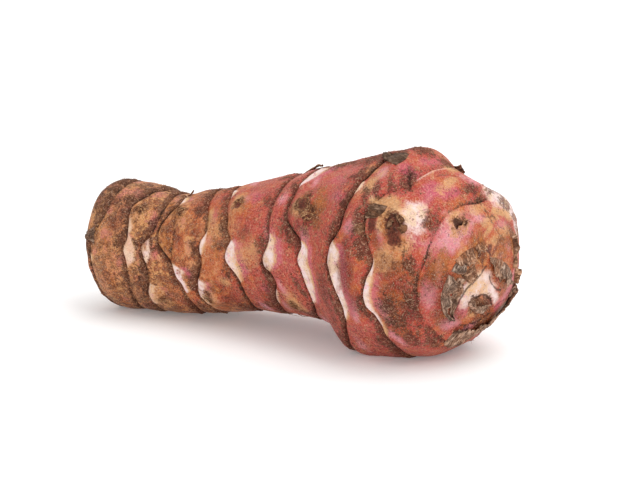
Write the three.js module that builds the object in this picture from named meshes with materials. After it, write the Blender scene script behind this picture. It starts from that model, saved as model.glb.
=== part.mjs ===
// Jerusalem artichoke: one long, knobbly tuber lying on its side, with the dried scale leaves and root
// threads that still hang on it. Millimetres, +Z up. The tuber runs along +X, from the narrow end, where it
// broke off its runner, to the swollen head with the growing tip.
//
// A place on the skin is given by two numbers:
//   along  - millimetres along the outline, from the middle of the narrow end to the growing tip
//   around - degrees round the axis: 0 on top, 90 on the -Y side, 180 underneath, 270 on the +Y side

import * as THREE from 'three';

// ---------------------------------------------------------------- driving dimensions

const AXIS_LENGTH = 111;

// Half thickness of the body at distances along its axis: [distance, radius].
const OUTLINE = [
  [0, 0], [0.5, 8.4], [2.5, 15], [6.5, 16.6], [14, 16], [24, 15.3], [34, 15.7], [44, 16], [54, 17.2],
  [64, 18.2], [73, 20], [82, 23.4], [91, 24.5], [99, 22.8], [105, 19.2], [109, 12.5], [AXIS_LENGTH, 0],
];

// Height of the axis over the surface it rests on, and its bend to the side: [distance, millimetres].
const AXIS_HEIGHT = [
  [0, 15.7], [12, 17.1], [24, 16.9], [36, 18.4], [48, 20.7], [60, 22.7], [72, 24.2], [84, 24.1],
  [96, 23.9], [AXIS_LENGTH, 23.3],
];
const AXIS_BEND = [
  [0, 0], [50, 0], [64, -0.6], [78, -2], [92, -5.2], [104, -9.2], [AXIS_LENGTH, -12],
];

// Broad swellings and hollows: where (along, around), how wide (mm, degrees) and how high (mm).
const SWELLINGS = [
  { along: 18, around: 7, wide: 5, turn: 30, high: 0.7 },
  { along: 36, around: -2, wide: 9, turn: 45, high: -0.9 },
  { along: 35, around: 142, wide: 8, turn: 26, high: 1.2 },
  { along: 65, around: 3, wide: 8, turn: 35, high: -0.7 },
  { along: 82, around: 142, wide: 6, turn: 28, high: 1.1 },
  { along: 97, around: 150, wide: 7, turn: 18, high: 2.4 },
  { along: 107.5, around: 4, wide: 4.6, turn: 26, high: 1.9 },
  { along: 109, around: -36, wide: 4, turn: 13, high: -1.4 },
  { along: 112, around: -27, wide: 5, turn: 20, high: -3 },
  { along: 124, around: 143, wide: 5.5, turn: 50, high: 1.8 },
  { along: 117.5, around: -32, wide: 3, turn: 14, high: -1.1 },
  { along: 121.4, around: 196, wide: 4.5, turn: 26, high: -1.8 },
  { along: 122, around: -48, wide: 3.5, turn: 20, high: 1.2 },
];

// Node rings, where each scale leaf grew: [around, along], once round the tuber.
const RINGS = [
  [[0, 22.2], [30, 21.8], [55, 21], [70, 18.6], [85, 17.4], [120, 17], [160, 18], [200, 19.5], [250, 21],
    [310, 22]],
  [[0, 29.6], [20, 28.4], [40, 26.8], [60, 27.3], [83, 27.2], [110, 28.2], [145, 27.5], [190, 27.5],
    [240, 28.4], [300, 29.4]],
  [[0, 33.6], [30, 35.2], [50, 35.2], [66, 34.4], [80, 32.4], [95, 34], [122, 33.5], [150, 34],
    [200, 34.6], [250, 35], [310, 34]],
  [[0, 39], [29, 40.2], [46, 37.8], [58, 36.6], [72, 37.4], [85, 40.4], [103, 42.1], [138, 43.2], [190, 42],
    [240, 40.6], [300, 39.4]],
  [[0, 49.6], [35, 51.2], [55, 52.6], [72, 50.8], [88, 50.8], [112, 47.8], [124, 46.8], [152, 47.6],
    [200, 48.6], [260, 50], [320, 49.6]],
  [[0, 55.8], [30, 57.2], [50, 58.4], [65, 59], [73, 60.2], [88, 58], [104, 60], [128, 59.8], [160, 58.6],
    [210, 57.4], [270, 56.6], [320, 56]],
  [[0, 72.6], [40, 72.6], [62, 72.4], [75, 72.8], [90, 70], [103, 71.4], [113, 72.2], [125, 70.4],
    [141, 68.6], [160, 67.4], [200, 68], [250, 70], [310, 72]],
  [[0, 80.6], [20, 79.2], [50, 77.9], [60, 78], [69, 80], [82, 83.2], [93, 81.6], [120, 84], [145, 80.6],
    [170, 79], [220, 78.4], [280, 79.2], [330, 80.2]],
  [[0, 101.6], [30, 101.3], [55, 99.8], [67, 100.2], [80, 97.7], [92, 98.7], [107, 101.8], [122, 101.6],
    [132, 99.6], [150, 97.8], [200, 98], [260, 99.5], [320, 100.8]],
  [[0, 114.3], [32, 113.6], [44, 109.8], [54, 107.6], [66, 109], [80, 112.9], [101, 110.5], [114, 112.7],
    [135, 112.5], [180, 111.5], [230, 110], [290, 110], [325, 110.4], [345, 111.8]],
  [[0, 124.7], [15, 124.5], [29, 124.1], [42, 124.5], [58, 125.3], [69, 125.7], [86, 124.8], [112, 124.7],
    [129, 125.4], [145, 125.2], [161, 124.6], [200, 124.4], [270, 124.4], [342, 123.9]],
];
const RING_DEPTH = [0.5, 0.6, 0.6, 0.7, 0.7, 0.7, 0.8, 0.8, 0.9, 0.8, 0.9];
const RIM_WIDTH = 0.7;
const BASE_WIDTH = 2.2;
const INTERNODE_SWELL = 0.45;

// Eyes, the buds just past a ring: where, how wide across and how high (mm).
const EYES = [
  { along: 29.4, around: 46, wide: 3.6, high: 0.9 },
  { along: 42.8, around: 39, wide: 3.4, high: 0.9 },
  { along: 61.5, around: 43, wide: 4.2, high: 1 },
  { along: 83, around: 52, wide: 6.4, high: 1.2 },
  { along: 116.6, around: 57, wide: 6, high: 2.2 },
  { along: 128.2, around: 25, wide: 3.6, high: 0.5 },
  { along: 36, around: 124, wide: 2.6, high: 0.9 },
  { along: 51, around: 130, wide: 3.4, high: 1.2 },
  { along: 75.5, around: 134, wide: 3.6, high: 0.8 },
  { along: 24, around: 250, wide: 3.2, high: 0.8 },
  { along: 38, around: 300, wide: 3, high: 0.8 },
  { along: 52.6, around: 235, wide: 3.4, high: 1 },
  { along: 64, around: 300, wide: 3.6, high: 0.9 },
  { along: 82, around: 225, wide: 5, high: 1 },
  { along: 103, around: 270, wide: 8, high: 1.1 },
  { along: 116, around: 210, wide: 6, high: 1.2 },
];

// The broken end of the runner: a shallow dish round a short stub.
const SCAR_RADIUS = 6;
const SCAR_DEPTH = 1.4;
const STUB_RADIUS = 2.2;
const STUB_HEIGHT = 1.6;

// The body sinks this far into the resting surface, which leaves two small flats under it.
const SETTLE = 0.7;

// Mesh steps: columns round the body, and rows between two rings as fractions of the way.
const COLUMNS = 56;
const ROWS_BETWEEN = [0, 0.07, 0.3, 0.62, 0.92];
const ROWS_LONG_GAP = [0, 0.05, 0.2, 0.4, 0.6, 0.8, 0.95];
const LONG_GAP = 14;
const ROWS_TAIL_CAP = [0.16, 0.3, 0.44, 0.58, 0.7, 0.82, 0.94];
const ROWS_TIP_CAP = [0, 0.1, 0.28, 0.46, 0.64, 0.82];

// Dried scale leaves: foot on the skin, length and width, how far the point lifts, the way it points
// (degrees from +along towards +around) and how much it curls across.
const LEAF_GAP = 0.5;
const LEAF_THICKNESS = 0.5;
const SCALE_LEAVES = [
  { name: 'crest_scale', along: 101.5, around: 16, long: 8, wide: 4.6, lift: 0.9, heading: -18, curl: 0.7 },
  { name: 'shoulder_scale', along: 77.5, around: 4, long: 5.5, wide: 2, lift: 1, heading: -25, curl: 0.3 },
  { name: 'neck_scale', along: 35.5, around: -3, long: 4, wide: 1.6, lift: 0.9, heading: 60, curl: 0.2 },
  { name: 'tail_scale', along: 17, around: 70, long: 4.5, wide: 3, lift: 1.2, heading: 165, curl: 0.4 },
  { name: 'eye_scale', along: 105.5, around: 44, long: 3.6, wide: 2.6, lift: 0.5, heading: 10, curl: 0.4 },
  { name: 'saddle_scale', along: 111.5, around: -18, long: 2.6, wide: 1.6, lift: 0.7, heading: -30,
    curl: 0.2 },
  { name: 'crown_scale_left', along: 131.5, around: 62, long: 6.5, wide: 6, lift: 0.6, heading: 25,
    curl: 0.5 },
  { name: 'crown_scale_back', along: 131.5, around: -50, long: 6.5, wide: 6, lift: 1.1, heading: -20,
    curl: 0.5 },
  { name: 'crown_scale_low', along: 131, around: 165, long: 6.5, wide: 6, lift: 1, heading: 15, curl: 0.5 },
  { name: 'back_scale', along: 79.5, around: 262, long: 6, wide: 4, lift: 0.8, heading: 10, curl: 0.4 },
];

// Dried root threads: where they leave the skin, how long, and the way they point.
const THREAD_RADIUS = 0.3;
const ROOT_THREADS = [
  { name: 'root_thread_neck', along: 66.5, around: 148, long: 6, heading: 30 },
  { name: 'root_thread_head', along: 72, around: 152, long: 5, heading: 10 },
  { name: 'root_thread_back', along: 60, around: 215, long: 7, heading: -20 },
];

const SKIN_COLOUR = 0xa8574c;
const DRY_COLOUR = 0x6b5140;
const THREAD_COLOUR = 0x7d6650;

// ---------------------------------------------------------------- curves

// A smooth curve through knots [x, y], with the slope at each knot taken from its two neighbours.
function through(knots, x) {
  const last = knots.length - 1;
  const at = Math.min(Math.max(x, knots[0][0]), knots[last][0]);
  let i = 0;
  while (i < last - 1 && at > knots[i + 1][0]) i += 1;
  const slope = (k) => {
    const before = knots[Math.max(k - 1, 0)];
    const after = knots[Math.min(k + 1, last)];
    return (after[1] - before[1]) / (after[0] - before[0]);
  };
  const step = knots[i + 1][0] - knots[i][0];
  const u = (at - knots[i][0]) / step;
  const fromStart = (1 + 2 * u) * (1 - u) ** 2 * knots[i][1] + u * (1 - u) ** 2 * step * slope(i);
  const fromEnd = u * u * (3 - 2 * u) * knots[i + 1][1] + u * u * (u - 1) * step * slope(i + 1);
  return fromStart + fromEnd;
}

// The same, for knots that go once round a circle: [degrees, y].
function roundCurve(knots, degrees) {
  const turned = ((degrees % 360) + 360) % 360;
  const copies = [-360, 0, 360].flatMap((shift) => knots.map(([a, y]) => [a + shift, y]));
  return through(copies, turned);
}

// The outline as points in order, each with its length along the outline so far.
function traceOutline(steps) {
  const chord = [0];
  for (let i = 1; i < OUTLINE.length; i += 1) {
    const [x, r] = OUTLINE[i];
    const [px, pr] = OUTLINE[i - 1];
    chord.push(chord[i - 1] + Math.hypot(x - px, r - pr));
  }
  const xKnots = OUTLINE.map(([x], i) => [chord[i], x]);
  const rKnots = OUTLINE.map(([, r], i) => [chord[i], r]);
  const points = [];
  for (let i = 0; i <= steps; i += 1) {
    const c = (chord[chord.length - 1] * i) / steps;
    const x = through(xKnots, c);
    const radius = Math.max(through(rKnots, c), 0);
    const before = points[i - 1];
    const along = before ? before.along + Math.hypot(x - before.x, radius - before.radius) : 0;
    points.push({ along, x, radius });
  }
  return points;
}

const TRACE = traceOutline(1500);
const OUTLINE_LENGTH = TRACE[TRACE.length - 1].along;

// Distance down the axis and body radius at a length along the outline.
function outlineAt(along) {
  let low = 0;
  let high = TRACE.length - 1;
  while (high - low > 1) {
    const middle = (low + high) >> 1;
    if (TRACE[middle].along <= along) low = middle;
    else high = middle;
  }
  const a = TRACE[low];
  const b = TRACE[high];
  const u = Math.min(Math.max((along - a.along) / (b.along - a.along), 0), 1);
  return { x: a.x + u * (b.x - a.x), radius: a.radius + u * (b.radius - a.radius) };
}

// ---------------------------------------------------------------- the skin

function axisPoint(x) {
  return new THREE.Vector3(x, through(AXIS_BEND, x), through(AXIS_HEIGHT, x));
}

function bell(distance, width) {
  return Math.exp(-((distance / width) ** 2));
}

function turnBetween(a, b) {
  return (((a - b + 180) % 360) + 360) % 360 - 180;
}

// How far the skin stands out from the plain body: swellings, rings, internodes and eyes.
function relief(along, around, radius) {
  const nearPole = Math.min(radius / 8, 1);
  let out = 0;
  for (const s of SWELLINGS) {
    out += nearPole * s.high * bell(along - s.along, s.wide) * bell(turnBetween(around, s.around), s.turn);
  }
  for (const e of EYES) {
    const across = THREE.MathUtils.degToRad(turnBetween(around, e.around)) * radius;
    out += e.high * bell(Math.hypot(along - e.along, across), e.wide * 0.6);
  }
  return out + ringRelief(along, around);
}

// Each internode is gently convex. It ends in a sharp rim at the ring, and the next starts lower.
function ringRelief(along, around) {
  let out = 0;
  RINGS.forEach((ring, k) => {
    const past = along - roundCurve(ring, around);
    const width = past < 0 ? RIM_WIDTH : BASE_WIDTH;
    out -= RING_DEPTH[k] * Math.exp(-Math.abs(past) / width);
  });
  return out + INTERNODE_SWELL;
}

// The dish and stub where the runner broke off, as a depth into the narrow end.
function scarDepth(radius) {
  const dish = SCAR_DEPTH * bell(radius, SCAR_RADIUS);
  const stub = STUB_HEIGHT * bell(radius, STUB_RADIUS);
  return dish - stub;
}

function skinPoint(along, around, offset = 0) {
  const { x, radius } = outlineAt(along);
  const step = 0.5;
  const ahead = axisPoint(Math.min(x + step, AXIS_LENGTH));
  const behind = axisPoint(Math.max(x - step, 0));
  const axis = ahead.sub(behind).normalize();
  const side = axis.clone().cross(new THREE.Vector3(0, 0, 1)).normalize();
  const up = side.clone().cross(axis);
  const angle = THREE.MathUtils.degToRad(around);
  const out = up.multiplyScalar(Math.cos(angle)).add(side.multiplyScalar(Math.sin(angle)));
  const reach = radius < 0.01 ? 0 : radius + relief(along, around, radius) * Math.min(radius / 6, 1) + offset;
  const point = axisPoint(x).addScaledVector(out, reach);
  if (x < 3) point.addScaledVector(axis, scarDepth(radius));
  point.z -= SETTLE;
  return point;
}

function skinNormal(along, around) {
  const d = 0.4;
  const turn = 2;
  const forward = skinPoint(along + d, around).sub(skinPoint(along - d, around));
  const round = skinPoint(along, around + turn).sub(skinPoint(along, around - turn));
  return round.cross(forward).normalize();
}

// ---------------------------------------------------------------- solids

// A closed mesh from rows of points that each go once round, shut by one point at either end.
function closedRows(rows, first, last) {
  const columns = rows[0].length;
  const points = [first, ...rows.flat(), last];
  const index = [];
  const at = (row, column) => 1 + row * columns + (column % columns);
  const end = points.length - 1;
  for (let c = 0; c < columns; c += 1) {
    index.push(0, at(0, c + 1), at(0, c));
    index.push(end, at(rows.length - 1, c), at(rows.length - 1, c + 1));
    for (let r = 0; r + 1 < rows.length; r += 1) {
      index.push(at(r, c), at(r + 1, c + 1), at(r + 1, c));
      index.push(at(r, c), at(r, c + 1), at(r + 1, c + 1));
    }
  }
  const geometry = new THREE.BufferGeometry();
  geometry.setFromPoints(points);
  geometry.setIndex(index);
  geometry.computeVertexNormals();
  return geometry;
}

function namedMesh(name, geometry, color, roughness) {
  const material = new THREE.MeshStandardMaterial({ color, roughness, metalness: 0 });
  const mesh = new THREE.Mesh(geometry, material);
  mesh.name = name;
  return mesh;
}

// Where the mesh rows cross one column: on every ring, and at set fractions between rings.
function rowStations(around) {
  const stops = [0, ...RINGS.map((ring) => roundCurve(ring, around)), OUTLINE_LENGTH];
  return stops.slice(1).flatMap((stop, i) => {
    const gap = stop - stops[i];
    return rowFractions(i).map((fraction) => stops[i] + fraction * gap);
  });
}

function rowFractions(band) {
  if (band === 0) return ROWS_TAIL_CAP;
  if (band === RINGS.length) return ROWS_TIP_CAP;
  const gap = RINGS[band][0][1] - RINGS[band - 1][0][1];
  return gap > LONG_GAP ? ROWS_LONG_GAP : ROWS_BETWEEN;
}

function tuberMesh() {
  const columns = [];
  for (let c = 0; c < COLUMNS; c += 1) {
    const around = (360 * c) / COLUMNS;
    columns.push(rowStations(around).map((along) => restingPoint(along, around)));
  }
  const rows = columns[0].map((_, r) => columns.map((column) => column[r]));
  const geometry = closedRows(rows, restingPoint(0, 0), restingPoint(OUTLINE_LENGTH, 0));
  return namedMesh('tuber', geometry, SKIN_COLOUR, 0.6);
}

// The skin, pressed flat where the weight rests on the surface.
function restingPoint(along, around) {
  const point = skinPoint(along, around);
  point.z = Math.max(point.z, 0);
  return point;
}

// A place on the skin, so many millimetres from a foot, ahead along a heading and out to one side of it.
function besideFoot(foot, ahead, sideways, height) {
  const heading = THREE.MathUtils.degToRad(foot.heading);
  const along = foot.along + ahead * Math.cos(heading) - sideways * Math.sin(heading);
  const across = ahead * Math.sin(heading) + sideways * Math.cos(heading);
  const around = foot.around + THREE.MathUtils.radToDeg(across / outlineAt(along).radius);
  return skinPoint(along, around).addScaledVector(skinNormal(along, around), height);
}

// A dried scale leaf: a thin shell that hugs the skin at its foot and lifts towards its point.
function scaleLeafMesh(leaf) {
  const halfWidth = [[0, 0.55], [0.35, 1], [0.75, 0.75], [1, 0.2]];
  const lengthSteps = 6;
  const acrossSteps = [-1, -0.5, 0, 0.5, 1];
  const rows = [];
  for (let i = 0; i <= lengthSteps; i += 1) {
    const u = i / lengthSteps;
    const half = (leaf.wide / 2) * through(halfWidth, u);
    const edge = (v, thick) => besideFoot(leaf, u * leaf.long, v * half,
      LEAF_GAP + leaf.lift * u * u + leaf.curl * v * v * half * 0.5 + thick);
    const over = acrossSteps.map((v) => edge(v, LEAF_THICKNESS));
    const under = [...acrossSteps].reverse().map((v) => edge(v, 0));
    rows.push([...over, ...under]);
  }
  const middle = (row) => row[2].clone().add(row[row.length - 3]).multiplyScalar(0.5);
  const geometry = closedRows(rows, middle(rows[0]), middle(rows[lengthSteps]));
  return namedMesh(leaf.name, geometry, DRY_COLOUR, 0.9);
}

// A dried root thread: a fine tube that leaves the skin and droops a little.
function rootThreadMesh(thread) {
  const rise = [0.9, 1.5, 1.9, 2.0];
  const last = rise.length - 1;
  const path = new THREE.CatmullRomCurve3(rise.map((height, i) => (
    besideFoot(thread, (i / last) * thread.long, 0, height))));
  const section = new THREE.Shape().absarc(0, 0, THREAD_RADIUS, 0, 2 * Math.PI);
  const geometry = new THREE.ExtrudeGeometry(section, { extrudePath: path, steps: 8, curveSegments: 3 });
  return namedMesh(thread.name, geometry, THREAD_COLOUR, 0.9);
}

// ---------------------------------------------------------------- the whole thing

// The model's origin: below the middle of the whole, on the resting surface.
const MIDDLE_X = 56.9;
const MIDDLE_Y = -4.25;

const whole = new THREE.Group();
whole.position.set(-MIDDLE_X, -MIDDLE_Y, 0);
whole.add(tuberMesh());
SCALE_LEAVES.forEach((leaf) => whole.add(scaleLeafMesh(leaf)));
ROOT_THREADS.forEach((thread) => whole.add(rootThreadMesh(thread)));

const group = new THREE.Group();
group.add(whole);

export default group;
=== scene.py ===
# %% [markdown]
# # A Jerusalem artichoke, lying on its side
#
# The object is one long tuber: a swollen underground stem. Like any stem it is built from nodes. At each
# node a scale leaf once wrapped the stem, and where it dropped off it left a ring. Just past each ring, on
# the side of the growing tip, the skin was covered for longest, so it is still pale and smooth. A bud, or
# eye, sits in the angle of each scale leaf. The rest is thin corky skin, red where it is young and tan
# where it is old.
#
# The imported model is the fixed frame. Everything here is laid over it in the same place, in metres, and sizes
# are written in millimetres.

# %% Load the frame and measure it
import math

import bmesh
import bpy
import numpy as np
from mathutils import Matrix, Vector
from mathutils.bvhtree import BVHTree


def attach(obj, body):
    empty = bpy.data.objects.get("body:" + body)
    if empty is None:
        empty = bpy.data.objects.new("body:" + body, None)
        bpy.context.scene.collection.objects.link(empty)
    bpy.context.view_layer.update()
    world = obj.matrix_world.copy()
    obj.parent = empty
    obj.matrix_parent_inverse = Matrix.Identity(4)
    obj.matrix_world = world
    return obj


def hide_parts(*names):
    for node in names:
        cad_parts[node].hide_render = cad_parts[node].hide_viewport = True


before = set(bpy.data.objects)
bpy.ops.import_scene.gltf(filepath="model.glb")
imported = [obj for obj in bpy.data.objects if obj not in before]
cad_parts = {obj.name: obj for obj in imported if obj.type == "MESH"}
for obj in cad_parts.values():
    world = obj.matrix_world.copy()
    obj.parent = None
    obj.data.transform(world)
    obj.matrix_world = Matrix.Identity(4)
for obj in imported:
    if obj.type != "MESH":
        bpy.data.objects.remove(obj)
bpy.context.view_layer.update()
MM = 0.001

# %% [markdown]
# ## The body's plain shape
#
# A tuber has no straight line in it, but it is close to a turned form on a bent axis. So its shape is three
# short lists: how thick it is along the axis, how high the axis lies, and how far it bends to the side. A
# smooth curve runs through each list. Sculpting by hand would give the same silhouette, but these numbers can
# be read, changed and shared with the solid model underneath.
#
# A place on the skin is then two numbers: millimetres along the outline from the broken end, and degrees
# round the axis, with 0 on top, 90 at the front and 180 underneath.

# %% Curves through a few knots
def through(knots, x):
    """A smooth curve through knots (x, y); the slope at a knot comes from its two neighbours."""
    at, value = (np.array(column, float) for column in zip(*knots))
    x = np.clip(np.asarray(x, float), at[0], at[-1])
    slope = np.empty(len(at))
    slope[1:-1] = (value[2:] - value[:-2]) / (at[2:] - at[:-2])
    slope[[0, -1]] = (np.diff(value) / np.diff(at))[[0, -1]]
    i = np.clip(np.searchsorted(at, x, side="right") - 1, 0, len(at) - 2)
    step = at[i + 1] - at[i]
    u = (x - at[i]) / step
    from_start = (1 + 2 * u) * (1 - u) ** 2 * value[i] + u * (1 - u) ** 2 * step * slope[i]
    from_end = u * u * (3 - 2 * u) * value[i + 1] + u * u * (u - 1) * step * slope[i + 1]
    return from_start + from_end


def round_curve(knots, degrees):
    """The same once round the tuber, for knots (degrees, y) that join up with themselves."""
    copies = [(a + shift, y) for shift in (-360, 0, 360) for a, y in knots]
    return through(copies, np.mod(degrees, 360))


def smooth_step(low, high, x):
    u = np.clip((x - low) / (high - low), 0, 1)
    return u * u * (3 - 2 * u)


def bell(distance, width):
    return np.exp(-((distance / width) ** 2))


# %% The body: thickness, height and bend of the axis
AXIS_LENGTH = 111
OUTLINE = [(0, 0), (0.5, 8.4), (2.5, 15), (6.5, 16.6), (14, 16), (24, 15.3), (34, 15.7), (44, 16), (54, 17.2),
           (64, 18.2), (73, 20), (82, 23.4), (91, 24.5), (99, 22.8), (105, 19.2), (109, 12.5), (AXIS_LENGTH,
                                                                                                0)]
AXIS_HEIGHT = [(0, 15.7), (12, 17.1), (24, 16.9), (36, 18.4), (48, 20.7), (60, 22.7), (72, 24.2), (84, 24.1),
               (96, 23.9), (AXIS_LENGTH, 23.3)]
AXIS_BEND = [(0, 0), (50, 0), (64, -0.6), (78, -2), (92, -5.2), (104, -9.2), (AXIS_LENGTH, -12)]
MIDDLE = np.array([56.9, -4.25, 0])
SETTLE = 0.7


def trace_outline(steps=1500):
    """Length along the outline, distance down the axis and radius, at many points."""
    x_knots, r_knots = zip(*OUTLINE)
    chord = np.concatenate([[0], np.cumsum(np.hypot(np.diff(x_knots), np.diff(r_knots)))])
    c = np.linspace(0, chord[-1], steps + 1)
    x = through(list(zip(chord, x_knots)), c)
    radius = np.maximum(through(list(zip(chord, r_knots)), c), 0)
    along = np.concatenate([[0], np.cumsum(np.hypot(np.diff(x), np.diff(radius)))])
    return along, x, radius


TRACE = trace_outline()
OUTLINE_LENGTH = TRACE[0][-1]
print(f"outline from end to tip: {OUTLINE_LENGTH:.1f} mm")


def outline_at(along):
    return np.interp(along, TRACE[0], TRACE[1]), np.interp(along, TRACE[0], TRACE[2])


def axis_point(x):
    return np.stack([x, through(AXIS_BEND, x), through(AXIS_HEIGHT, x)], -1)


def body_point(along, around, out=0.0, push=0.0):
    """Millimetres, in the frame: a skin point raised by out, and pushed along the axis."""
    x, radius = outline_at(along)
    axis = axis_point(np.minimum(x + 0.5, AXIS_LENGTH)) - axis_point(np.maximum(x - 0.5, 0))
    axis /= np.linalg.norm(axis, axis=-1, keepdims=True)
    side = np.cross(axis, [0, 0, 1])
    side /= np.linalg.norm(side, axis=-1, keepdims=True)
    up = np.cross(side, axis)
    angle = np.radians(around)[..., None]
    outward = np.cos(angle) * up + np.sin(angle) * side
    reach = np.where(radius < 0.01, 0, radius + out * np.minimum(radius / 6, 1))
    point = axis_point(x) + outward * reach[..., None] + axis * np.broadcast_to(push, x.shape)[..., None]
    return point - MIDDLE - [0, 0, SETTLE]


# %% [markdown]
# ## The camera
#
# The tuber is seen a little from above and from the growing tip's side, through a long lens, so that the head
# is not blown up by perspective. The camera is set early because every later step is judged through it.

# %% Camera
VIEW_AZIMUTH = 28.0
VIEW_ELEVATION = 12.5
VIEW_DISTANCE = 444.0
VIEW_TARGET = np.array([62.5, 0, 23.7]) - MIDDLE - [0, 0, SETTLE]


def aim_camera():
    azimuth, elevation = math.radians(VIEW_AZIMUTH), math.radians(VIEW_ELEVATION)
    back = Vector((math.sin(azimuth) * math.cos(elevation), -math.cos(azimuth) * math.cos(elevation),
                   math.sin(elevation)))
    lens = bpy.data.cameras.new("view")
    lens.lens = 100
    lens.sensor_width = 36
    camera = bpy.data.objects.new("view", lens)
    camera.location = Vector(VIEW_TARGET * MM) + back * VIEW_DISTANCE * MM
    camera.rotation_euler = back.to_track_quat("Z", "Y").to_euler()
    bpy.context.scene.collection.objects.link(camera)
    bpy.context.scene.camera = camera


aim_camera()
print("camera at", [round(v, 3) for v in bpy.context.scene.camera.location])

# %% [markdown]
# ## Rings, internodes and eyes
#
# The rings are not flat circles: each wanders along the tuber, so each is a closed curve of (degrees,
# millimetres along). The stretch between two rings, an internode, swells a little. It ends at the next ring
# in a rolled rim, and the next internode starts lower down, behind that rim. Each ring also lists how far the
# pale fresh skin runs past it and how far grey soil and dead tissue cling before it, at some degrees round.
#
# These could be painted by hand on a sculpt. Written as curves they stay sharp: the mesh rows will follow
# them.

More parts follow.
